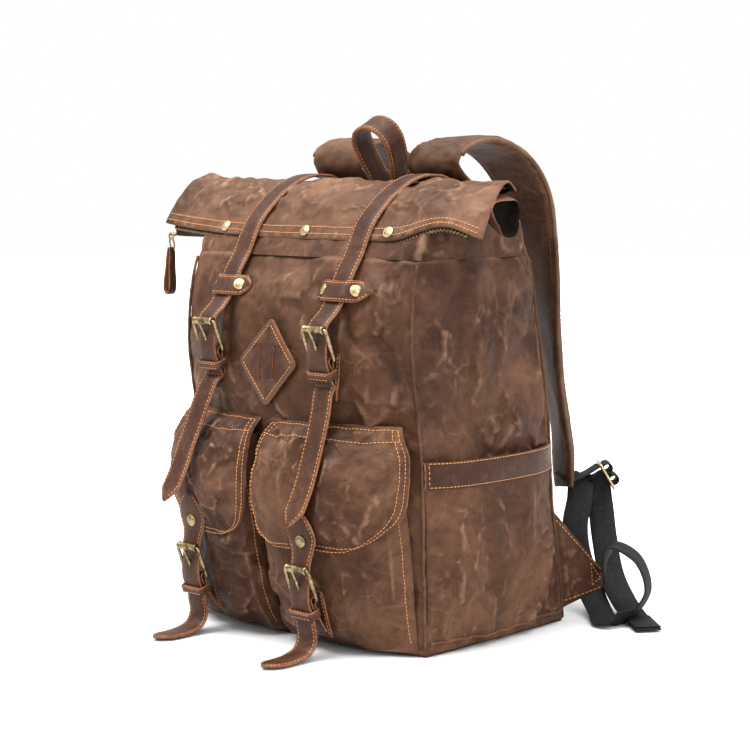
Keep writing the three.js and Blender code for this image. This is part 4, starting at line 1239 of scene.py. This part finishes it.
POCKET_X = (4, 141)
pocket_depth = profile([(3, 24), (20, 29), (50, 34), (80, 34), (109, 33), (150, 36), (180, 23), (196, 12)])
FLAP_LIFT = {
    "left": profile([(95, 34.5), (109, 36), (130, 39.5), (150, 39), (175, 31), (188, 23), (196, 14.5), (206, 0)]),
    "right": profile([(95, 34.5), (109, 36.5), (130, 39.5), (150, 36), (175, 26), (188, 18.5), (196, 11.5), (206, 0)])}
flap_inner = profile([(0, 8), (0.25, 4), (0.54, 3), (0.75, 6), (0.92, 18), (1, 46)])
flap_outer = profile([(0, 135), (0.12, 140), (0.25, 144.5), (0.54, 145), (0.75, 139), (0.92, 119), (1, 97)])


def swell(x):
    """The pockets are fullest in their middles, and the left one stays full towards its outer side."""
    u = (np.abs(x) - POCKET_X[0]) / (POCKET_X[1] - POCKET_X[0])
    rise = 1 - 0.35 * np.clip(1 - u / 0.45, 0, 1) ** 3
    fall = 1 - np.where(x < 0, 0.1, 0.66) * np.clip((u - 0.45) / 0.55, 0, 1) ** 2.6
    return np.where(u < 0.45, rise, fall)


def pocket(side, sign):
    def surface(u, v):
        z = mix(PANEL_FOOT, 190, v)
        x = sign * mix(mix(POCKET_X[0], 11, v ** 3), mix(POCKET_X[1], 130, v ** 3), u)
        round_ = np.clip(np.minimum(u, 1 - u) * 16, 0, 1) ** 0.5
        depth = pocket_depth(z) * swell(x) * (0.35 + 0.65 * round_)
        depth = depth * (0.45 + 0.55 * rise_to(v, 9) ** 0.5)
        return points(x, front_y(x, z) - depth, z)
    flip = sign < 0
    grid = grid_of(surface, 50, 56)
    grid = crumple(grid, 0.04, flip=flip, cap=(2.4, 2.4), seed=11 + sign)
    grid = weather(grid, flip, cell=32, slope=0.16, seed=11.0 + sign)
    sheet(f"pocket_cloth_{side}", grid, 2.0, "bag", replaces=[f"pocket_{side}"], flip=flip)
    # The seam where the pocket is sewn to the bag.
    for u in (0.022, 0.978):
        sew_on("bag", grid, u, np.linspace(0.05, 0.97, 90), flip, 0.1)


def flap(side, sign):
    def surface(u, v):
        x = sign * mix(flap_inner(v), flap_outer(v), u)
        z = mix(206, 95, v)
        lift = swell(x) * FLAP_LIFT[side](z)
        return points(x, front_y(x, z) - lift - 3.3, z)
    flip = sign > 0
    grid = grid_of(surface, 50, 46)
    u, v = shares(50, 46, -1)
    n = normals(grid, flip)
    # The strap presses a valley down the middle; the cloth bulges on both sides of it.
    press = -2.2 * bell(u, 0, 0.16) * rise_to(v - 0.35, 5)
    bulge = 2.4 * np.sin(np.pi * np.abs(u)) * np.sin(np.pi * np.clip(v, 0, 1)) ** 0.8
    grid = grid + n * (press + bulge)[..., None]
    grid = crumple(grid, 0.035, flip=flip, cap=(1.8, 2.6), seed=21 + sign)
    grid = weather(grid, flip, cell=29, slope=0.19, seed=21.0 + sign, fade=edge_fade((99, 91), 7))
    # Under the closure strap's end the cloth is pressed back.
    ys, zs = np.array(TAIL[side][::-1]).T
    beside = np.clip((np.abs(grid[..., 0] - sign * STRAP_X) - 12) / 12, 0, 1)
    reach = np.interp(grid[..., 2], zs, ys) + 4.2 - 14 * beside ** 2
    grid[..., 1] = np.where(grid[..., 2] > 126, np.maximum(grid[..., 1], reach), grid[..., 1])
    piece = sheet(f"pocket_flap_cloth_{side}", grid, 2.2, "", replaces=[f"pocket_flap_{side}"], rim="leather_edge",
                  flip=flip)
    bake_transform(piece)
    lid = f"pocket_lid_{side}"
    for inset in (0.022, 0.05):
        # Round the curved edge: down one side, along the foot and up the other.
        foot = 1 - inset * 1.2
        us = np.concatenate([np.full(60, inset), np.linspace(inset, 1 - inset, 44), np.full(60, 1 - inset)])
        vs = np.concatenate([np.linspace(0.12, foot, 60), np.full(44, foot), np.linspace(foot, 0.12, 60)])
        p, n = on_grid(grid, us, vs, flip, 0.25)
        keep = np.linalg.norm(np.diff(p, axis=0, prepend=p[:1] - 1), axis=1) > 0.2
        sew(lid, p[keep], n[keep], radius=0.38)
    # The top band has two rows and a stitched square at each corner.
    for row in (0.03, 0.115):
        sew_on(lid, grid, np.linspace(0.02, 0.98, 60), row, flip, 0.25, radius=0.38)
    for u0 in (0.022, 0.94):
        us = np.concatenate([np.full(8, u0), np.linspace(u0, u0 + 0.035, 8), np.full(8, u0 + 0.035)])
        vs = np.concatenate([np.linspace(0.03, 0.115, 8), np.full(8, 0.115), np.linspace(0.115, 0.03, 8)])
        sew_on(lid, grid, us, vs, flip, 0.25, pitch=3.4, length=2.5, radius=0.42)


def pocket_closure(side, sign):
    """A pear-shaped tab riveted to the lid, running on as the strap that curls on the floor."""
    x = sign * STRAP_X
    b = Buckle(x, -184, 82, 0.355)
    body = f"pocket_lid_{side}"
    route = ([(-182.2, 131.5), (-180.2, 121), (-177.4, 109), (-176.6, 97)] + b.strap_route()
             + [(-173, 30), (-171, 18), (-176, 8.5), (-187, 4.4), (-202, 3.0), (-226, 4.2)])
    wide = profile([(0, 10), (0.03, 22), (0.08, 31), (0.13, 34), (0.19, 28), (0.25, STRAP_W), (0.9, STRAP_W),
                    (0.96, 17), (1, 1.4)])
    path = Path(route, x)
    _, stand = ribbon(f"pocket_strap_tab_{side}", path, lambda t: float(wide(t)), 2.4, ACROSS, 130, body,
                      replaces=[f"pocket_strap_{side}"], crown=0.5)
    for ts in (np.linspace(0.012, 0.33, 60), np.linspace(0.56, 0.985, 70)):
        edge_stitches(stand, body, ts, lambda t: wide(t) / 2, 2.6)
    punched(f"pocket_holes_{side}", stand, (0.64, 0.73, 0.82), body)
    studs(f"pocket_tab_snap_{side}", [stand(0.145, 0.0)], body, 0.92, "antique_brass", rise=0.5)
    buckle_metal(b, "pocket", side, "pocket")
    chape(b, "pocket", side, body, [(-167, 38), (-158, 24)])
    patch(f"pocket_patch_{side}", x, lambda z: float(front_y(x, z) - pocket_depth(z)) - 0.8, 60, 17)


for side, sign in SIDES:
    pocket(side, sign)
    flap(side, sign)
    pocket_closure(side, sign)

# ---------------------------------------------------------------- side pockets, front tab and lower anchors

side_stand = profile([(3, 1), (60, 4), (150, 8.5), (175, 9.5)])


def side_pocket(side, sign):
    def surface(u, v, out=0.0):
        z = mix(PANEL_FOOT, 171, v)
        y = mix(corner_front(z) + 1.5, corner_back(z) - 4, u)
        middle = 1 - np.abs(2 * u - 1) ** 4.5
        stand = 1.4 + (side_stand(z) + 3.4) * middle
        return points(sign * (side_x(y, z) + stand + out), y, z)
    flip = sign < 0
    grid = grid_of(surface, 44, 42)
    u, v = shares(44, 42)
    # Slack folds fan up from the base corners.
    slack = 2.6 * bell(u, 0.62 + 0.25 * (v - 0.4), 0.07) * np.clip(1 - np.abs(v - 0.35) * 2.2, 0, 1)
    slack = slack + 2.2 * bell(u, 0.33 - 0.2 * (v - 0.3), 0.06) * np.clip(1 - np.abs(v - 0.4) * 2.4, 0, 1)
    grid = grid + normals(grid, flip) * slack[..., None]
    calm = np.clip((0.86 - v) * 8, 0, 1)[..., None]
    grid = grid + (crumple(grid, 0.055, flip=flip, cap=(2.5, 3.6), seed=31 + sign) - grid) * calm
    fade = edge_fade((87, 83)) * rise_to(0.86 - shares(87, 83)[1], 8)
    grid = weather(grid, flip, cell=34, slope=0.16, seed=31.0 + sign, fade=fade)
    sheet(f"side_pocket_cloth_{side}", grid, 2.0, "bag", replaces=[f"side_pocket_{side}"], flip=flip)
    # The leather band folds over the pocket's mouth.
    us = np.linspace(-0.012, 1.012, 60)
    zs = np.array([149.5, 152, 157, 162, 167, 172, 174.8, 175.4])
    lift = np.array([0.2, 1.6, 1.9, 1.9, 1.9, 1.7, 0.9, -1.2])
    band = np.stack([surface(np.clip(us, 0, 1), (z - PANEL_FOOT) / (171 - PANEL_FOOT), d + 0.9)
                     for z, d in zip(zs, lift)], 1)
    band[:, :, 1] += (us - np.clip(us, 0, 1))[:, None] * 160
    n = normals(band, flip)
    band = band + n * (0.45 * fractal(band / 20))[..., None]
    sheet(f"side_band_leather_{side}", band, 2.4, "bag", "leather", "lining", rim="leather_edge", rub=0.12,
          replaces=[f"side_band_{side}"], flip=flip)
    for v in (0.16, 0.8):
        sew_on("bag", band, np.linspace(0.02, 0.98, 80), v, flip, 0.1, radius=0.38)
    for u in (0.02, 0.98):
        sew_on("bag", band, u, np.linspace(0.2, 0.76, 10), flip, 0.1, pitch=4.0, length=3.0, radius=0.42)
    line, _ = on_grid(grid, np.linspace(0.01, 0.99, 70), 0.05, flip, 0.4)
    tube(f"side_pocket_foot_{side}", line, 1.6 + 0.3 * fractal(line / 9), "bag", "canvas", sides=8, wear=0.2)


def slit(cx):
    """An upright slot with round ends."""
    ring, half_w, half_h = [], 1.3, 16
    for a in circle(16) + math.pi / 16:
        end = math.copysign(half_h - half_w, math.sin(a))
        ring.append((cx + half_w * math.cos(a), end + half_w * math.sin(a)))
    return ring


def lash_tab():
    """A leather diamond with two slits, cut as one flat plate and bent to the front."""
    centre = DIAMOND_Z
    w, h, r = 37.0, 40.0, 5.0
    corners = np.array([(w, 0), (0, h), (-w, 0), (0, -h)])
    outline = []
    for k in range(4):
        before, corner, after = corners[k], corners[(k + 1) % 4], corners[(k + 2) % 4]
        along, turn = unit(corner - before), unit(after - corner)
        start, end = corner - along * r, corner + turn * r
        outline += [mix(before + along * r, start, t) for t in np.linspace(0, 1, 9)]
        outline += [(1 - t) ** 2 * start + 2 * t * (1 - t) * corner + t * t * end for t in (0.25, 0.5, 0.75)]
    curve = bpy.data.curves.new("diamond", "CURVE")
    curve.dimensions = "2D"
    curve.fill_mode = "BOTH"
    curve.extrude = 0.8
    curve.bevel_depth = 0.45
    curve.bevel_resolution = 2
    for ring in (outline, slit(-9), slit(9)):
        spline = curve.splines.new("POLY")
        spline.points.add(len(ring) - 1)
        for point, (x, z) in zip(spline.points, ring):
            point.co = (x, z, 0, 1)
        spline.use_cyclic_u = True
    cut = bpy.data.objects.new("diamond", curve)
    bpy.context.scene.collection.objects.link(cut)
    mesh = bpy.data.meshes.new_from_object(cut.evaluated_get(bpy.context.evaluated_depsgraph_get()))
    work = bmesh.new()
    work.from_mesh(mesh)
    bmesh.ops.remove_doubles(work, verts=work.verts, dist=0.01)
    bmesh.ops.triangulate(work, faces=work.faces)
    bmesh.ops.subdivide_edges(work, edges=[e for e in work.edges if e.calc_length() > 12], cuts=1)
    bmesh.ops.triangulate(work, faces=work.faces)
    flat = np.array([v.co for v in work.verts])
    work.verts.index_update()
    faces = [[v.index for v in f.verts] for f in work.faces]
    work.normal_update()
    index = [0 if abs(f.normal.z) > 0.8 else 1 for f in work.faces]
    work.free()
    bpy.data.objects.remove(cut)
    bpy.data.curves.remove(curve)
    bpy.data.meshes.remove(mesh)

    def seat(x, z, out):
        x, z, out = (np.asarray(v, float) for v in (x, z, out))
        y = front_y(x * 0.6, centre + z * 0.9) - 4.4 - out
        return points(x, y, centre + z)
    rim = np.clip((np.abs(flat[:, 0]) / w + np.abs(flat[:, 1]) / h - 0.86) / 0.14, 0, 1)
    make("lash_tab_leather", seat(flat[:, 0], flat[:, 1], flat[:, 2]), faces, ["leather", "leather_edge"], "bag",
         index, replaces=["lash_tab"], smooth=False, wear=0.7 * rim)
    inset = 0.87
    for a, b in zip(corners, np.roll(corners, -1, 0)):
        x, z = mix(a[:, None], b[:, None], np.linspace(0.03, 0.97, 24)) * inset
        sew("bag", seat(x, z, 1.35), np.tile((0, -1.0, 0.06), (24, 1)), pitch=3.4, length=2.6)


def lower_anchor(side, sign):
    """The folded canvas wing that holds the end of the webbing."""
    def surface(u, v):
        z = mix(112, 10, v)
        root = points(sign * 143, corner_back(z) + 2.6, z)
        tip = points(sign * 164.5, 135, 37 + 8.5 * (1 - 2 * v))
        return mix(root, tip, (u ** 0.92)[..., None])
    flip = sign > 0
    grid = grid_of(surface, 30, 26)
    u, v = shares(30, 26)
    n = normals(grid, flip)
    belly = 2.4 * np.sin(np.pi * v) * (1 - u) ** 0.6 * rise_to(u, 6)
    fold = -2.2 * bell(v, 0.45 + 0.1 * u, 0.09) * np.clip(1 - u * 1.6, 0, 1)
    rough = 1.3 * fractal(grid / 14) * rise_to(u, 6) * rise_to(1 - u, 5)
    grid = grid + n * (belly + fold + rough)[..., None]
    thick = (4.4 - 1.0 * u) * (0.45 + 0.55 * rise_to(np.minimum(v, 1 - v), 9))
    sheet(f"lower_anchor_cloth_{side}", grid, 4.0, "bag", "canvas", "canvas", flip=flip,
          replaces=[f"lower_anchor_{side}"], thick=thick)
    for v0 in (0.07, 0.93):
        sew_on("bag", grid, np.linspace(0.08, 0.97, 50), v0, flip, 0.15, pitch=4.4, length=3.2, radius=0.42)
    tri = [(0.74, 0.2), (0.74, 0.8), (0.96, 0.5), (0.74, 0.2)]
    for a, b in zip(tri[:-1], tri[1:]):
        t = np.linspace(0, 1, 12)
        sew_on("bag", grid, mix(a[0], b[0], t), mix(a[1], b[1], t), flip, 0.2, pitch=3.4, length=2.5, radius=0.4)


for side, sign in SIDES:
    side_pocket(side, sign)
    lower_anchor(side, sign)
lash_tab()

# ---------------------------------------------------------------- shoulder straps and webbing

SHOULDER_TOP = [(70, 59.5, 364), (68, 56, 380), (66, 39, 402), (64, 19, 417), (63, 8.5, 425.5), (62.5, 3.6, 432)]
SHOULDER = [(63, 4, 438), (65, 10, 446.5), (68, 28, 454), (71, 56, 454), (75, 91, 439), (79, 117, 408), (82, 130, 365),
            (84, 140, 320), (88, 152, 230), (95, 159, 165), (101, 156, 117)]
# How far the strap is turned about its own length, in degrees at shares of it.
TWIST = profile([(0, 0), (0.4, 0), (0.55, 14), (0.7, 32), (0.9, 36), (1, 28)])


def pad(name, path, width, thick, steps, body, side, seed=0.0):
    """A stuffed strap: a crowned section with a bound edge, and wrinkles where it bends."""
    ts = np.linspace(0, 1, steps + 1)
    centre, along, across, up = strap_frame(path, ts, side)
    wide = np.array([width(t) for t in ts]) / 2
    deep = np.array([thick(t) for t in ts]) / 2
    count = 44
    a = circle(count)
    cx = np.sign(np.cos(a)) * np.abs(np.cos(a)) ** 0.55
    cz = np.sign(np.sin(a)) * np.abs(np.sin(a)) ** 0.8
    rim = np.clip((np.abs(cx) - 0.86) / 0.14, 0, 1)
    cz = cz * (1 - 0.45 * rim)
    ring = (centre[:, None] + across[:, None] * (wide[:, None] * cx[None])[..., None]
            + up[:, None] * (deep[:, None] * cz[None])[..., None])
    out = unit(up[:, None] * np.sign(cz)[None, :, None] * (np.abs(cz) ** 0.5)[None, :, None]
               + across[:, None] * (cx * rim)[None, :, None])
    # Wrinkles run across the strap on the inside of each bend.
    turn = np.linalg.norm(np.gradient(along, ts, axis=0), axis=1)
    bend = np.clip(turn / 14, 0.15, 1.0)[:, None]
    flow = points(ts[:, None] * path.length / 13, cx[None] * 1.3 + seed, cz[None] * 0.8)
    wave = (1 - np.abs(perlin(flow)) * 2) ** 2 - 0.35
    soft = fractal(ring / 26 + seed) * 1.2
    cover = (1 - rim)[None]
    ring = ring + out * ((wave * 1.5 * bend + soft) * cover)[..., None]
    wear = np.clip((wave * bend + 0.1) * cover, 0, 1) * 0.55 + 0.5 * rim[None]
    piece = make(name, ring.reshape(-1, 3), rings(steps + 1, count), ["canvas"], body, wear=wear.ravel())

    def stand(t, share, rise=0.0, top=1):
        c, s, u = between(t, ts, centre, across, up)
        s, u = unit(s), unit(u)
        height = np.interp(t, ts, deep) * (1 - abs(share) ** 3.2) ** 0.5
        return c + s * (np.interp(t, ts, wide) * share)[:, None] + u * (top * (height + rise))[:, None], u * top
    return piece, stand


def shoulder(side, sign):
    body = f"shoulder_{side}"
    path = Path([(sign * x, y, z) for x, y, z in SHOULDER_TOP + SHOULDER])
    top_share = Path(SHOULDER_TOP).length / path.length
    width = lambda t: 64 * (1 - 0.5 * max(0.0, (t - 0.84) / 0.16) ** 1.5)
    thick = lambda t: float(np.interp(t, [0, 0.1, 0.2, 0.27, 0.36, 0.94, 1], [9, 10, 8, 8.5, 12.5, 11.5, 7]))

    def across(t):
        a = math.radians(float(TWIST(t)))
        return (math.cos(a), -0.9 * sign * math.sin(a), -0.8 * sign * math.sin(a))
    piece, stand = pad(f"shoulder_pad_{side}", path, width, thick, 190, "", across, seed=2.0 + sign)
    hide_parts(f"shoulder_strap_top_{side}", f"shoulder_strap_{side}")
    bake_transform(piece)
    ts = np.linspace(top_share + 0.05, 0.985, 240)
    for share in (-0.83, 0.83):
        for top in (1, -1):
            sew(body, *stand(ts, share, 0.1, top), "thread_dark", pitch=4.2, length=3.2, radius=0.42)
    # The edge is bound with a thin canvas cord.
    for share in (-1, 1):
        ts = np.linspace(top_share + 0.03, 1.0, 170)
        p, _ = stand(ts, share * 0.995)
        tube(f"shoulder_binding_{side}_{'a' if share < 0 else 'b'}", p, 2.2 + 0.25 * fractal(p / 9), body, "canvas",
             sides=9, wear=0.6)
    webbing(side, sign, body)


WEBBING = [(170.8, 128.2, 41), (178, 123, 60), (186, 120, 74), (201, 141, 61), (212, 143, 32), (206, 128, 11),
           (194, 105, 3.4), (172, 124, 6), (149, 141, 17), (136, 142, 40), (127, 143, 62), (121, 148, 84),
           (118, 158, 104), (113, 170, 126), (118, 183, 124), (124, 184, 100), (136, 175, 70), (155, 162, 36),
           (181, 149, 14), (206, 135, 4.6), (235, 113, 3)]
turn_share = profile([(0, 0), (0.05, 0.32), (0.2, 0.32), (0.33, 1), (1, 1)])


def webbing(side, sign, body):
    path = Path([(sign * x, y, z) for x, y, z in WEBBING])

    def across(t):
        w = float(turn_share(t))
        return (sign * mix(0.69, -0.72, w), mix(-0.72, -0.69, w), 0.0)
    _, stand = ribbon(f"webbing_strap_{side}", path, 25.0, 1.8, across, 420, body, "webbing", "webbing",
                      replaces=[f"webbing_{side}"])
    for t in (0.945, 0.97):
        sew(body, *stand(np.full(12, t), np.linspace(-10, 10, 12)), "tape", pitch=3.0, length=2.3, radius=0.4)
    # The strap's end is folded back on itself and sewn down.
    end = Path([tuple(p) for p in path.at(np.linspace(0.935, 0.997, 8)) + np.array((0, 0, 2.1))])
    ribbon(f"webbing_hem_{side}", end, 24.6, 1.7, lambda t: across(1.0), 24, body, "webbing", "webbing")
    slide(side, sign)


def slide(side, sign):
    """A three-bar slide whose middle bar the webbing goes round."""
    wide = unit(np.array((sign * 0.69, -0.72, 0)))
    down = unit(np.array((sign * 0.36, 0.35, -0.86)))
    down = unit(down - wide * (down @ wide))
    normal = np.cross(wide, down)
    centre = np.array((sign * 123, 194, 127.0))
    outline = rounded_rectangle(15.6, 13.6, 3.0)
    line = np.array([centre + wide * a + down * b for a, b in outline])
    body = f"slide_{side}"
    tube(f"slide_frame_{side}", line, 1.45, body, "pale_brass", sides=12, closed=True, normal=normal,
         replaces=[f"strap_slider_{side}"], flat=0.9)
    bar = np.array([centre + wide * a for a in np.linspace(-15.4, 15.4, 16)])
    tube(f"slide_bar_{side}", bar, 1.5, body, "pale_brass", sides=12)
    # The webbing is wrapped round the slide's bars.
    out = normal * (1 if normal[1] > 0 else -1)
    for k, low in enumerate((-6.5, 6.5)):
        hoop = [centre + down * (low + 4.6 * math.cos(t)) + out * (4.2 + 4.6 * math.sin(t)) for t in circle(16)]
        ribbon(f"webbing_wrap_{side}_{k}", Path(hoop, closed=True), 24.0, 1.7, wide, 40, body, "webbing", "webbing")
    lead = Path([(sign * 98, 150, 128), (sign * 103, 160, 124), (sign * 110, 174, 128), tuple(centre - down * 12)])
    ribbon(f"webbing_lead_{side}", lead, 24.0, 1.8, wide, 30, f"shoulder_{side}", "webbing", "webbing")


for side, sign in SIDES:
    shoulder(side, sign)

# ---------------------------------------------------------------- grab handle, rear zip and base board

HANDLE_LEAN = 0.47


def grab_handle():
    sin, cos = math.sin(HANDLE_LEAN), math.cos(HANDLE_LEAN)

    def up(x, far):
        return (x, 18 - sin * far, 409 + cos * far)
    half = [(17, 52, 373), (17, 47, 388), (15.5, 34, 406), up(14, 12), up(17, 26), up(20, 41), up(20.5, 53), up(16, 64),
            up(8, 69.5)]
    path = Path([(-x, y, z) for x, y, z in half] + [up(0, 71)] + half[::-1])

    def side(t):
        flat = np.array((-1.0 if t < 0.5 else 1.0, 0, 0))
        stood = np.array((0, -cos, -sin))
        return mix(flat, stood, smoothed(np.clip((min(t, 1 - t) - 0.06) / 0.12, 0, 1)))
    _, stand = ribbon("handle_loop", path, 26.5, 3.4, side, 150, "grab_handle", replaces=["grab_handle"],
                      crown=0.3)
    ts = np.linspace(0.05, 0.95, 220)
    for offset in (-10.6, 10.6):
        p, n = stand(ts, offset)
        sew("grab_handle", p, n, radius=0.34)
        sew("grab_handle", p - n * 3.5, -n, radius=0.34)


grab_handle()


REAR_ZIP_X = 128


def rear_zip():
    """The zip pocket in the back panel: a tape, its teeth, the slider and its pull."""
    x0, y0 = REAR_ZIP_X, float(back_y(REAR_ZIP_X, 140))
    zs = np.linspace(95, 262, 90)
    line = points(x0, back_y(x0, zs) + 1.2, zs)
    tape = np.stack([line + np.array((d, 0.5 - abs(d) * 0.12, 0)) for d in (-6.5, -3, 0, 3, 6.5)], 1)
    sheet("rear_zip_tape", tape, 1.0, "bag", "tape", "tape", flip=True)
    z = np.arange(97, 260, 2.4)
    places = points(REAR_ZIP_X + np.where(np.arange(len(z)) % 2, 0.9, -0.9), back_y(REAR_ZIP_X, z) + 2.2, z)
    tooth = np.array([(x, y, w) for x in (-1.5, 1.5) for y in (-0.8, 0.8) for w in (-0.8, 0.8)])
    teeth("rear_zip_teeth", places, tooth, "bag")
    z = np.linspace(135.6, 144.4, 12)
    r = np.interp(z, [135.6, 137, 142, 144.4], [1.8, 3.0, 2.9, 1.6])
    tube("rear_slider_body", points(x0, y0 + 3.3, z), r, "rear_zip_slider", "zip_brass", sides=12,
         flat=0.55, normal=(0, 1, 0), replaces=["rear_zip_slider"])
    a = circle(24)
    tube("rear_slider_bridge", points(x0, y0 + 4.9 + 1.7 * np.sin(a), 140 + 3.0 * np.cos(a)), 0.6,
         "rear_zip_slider", "zip_brass", sides=8, closed=True)
    outline = rounded_rectangle(2.3, 9.2, 2.2, 6)
    line = np.array([(x0 + a, y0 + 6.8, 128 + b) for a, b in outline])
    tube("rear_pull_rim", line, 0.75, "rear_zip_pull", "zip_brass", sides=8, closed=True, normal=(0, 1, 0),
         replaces=["rear_zip_pull"])
    blade = Path([(x0, y0 + 6.8, 119.6), (x0, y0 + 6.8, 133)])
    ribbon("rear_pull_blade", blade, 4.0, 0.8, (1.0, 0, 0), 8, "rear_zip_pull", "zip_brass", "zip_brass")


rear_zip()

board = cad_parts["bottom_board"]
board.data.materials.clear()
board.data.materials.append(M["board"])

finish_stitches()
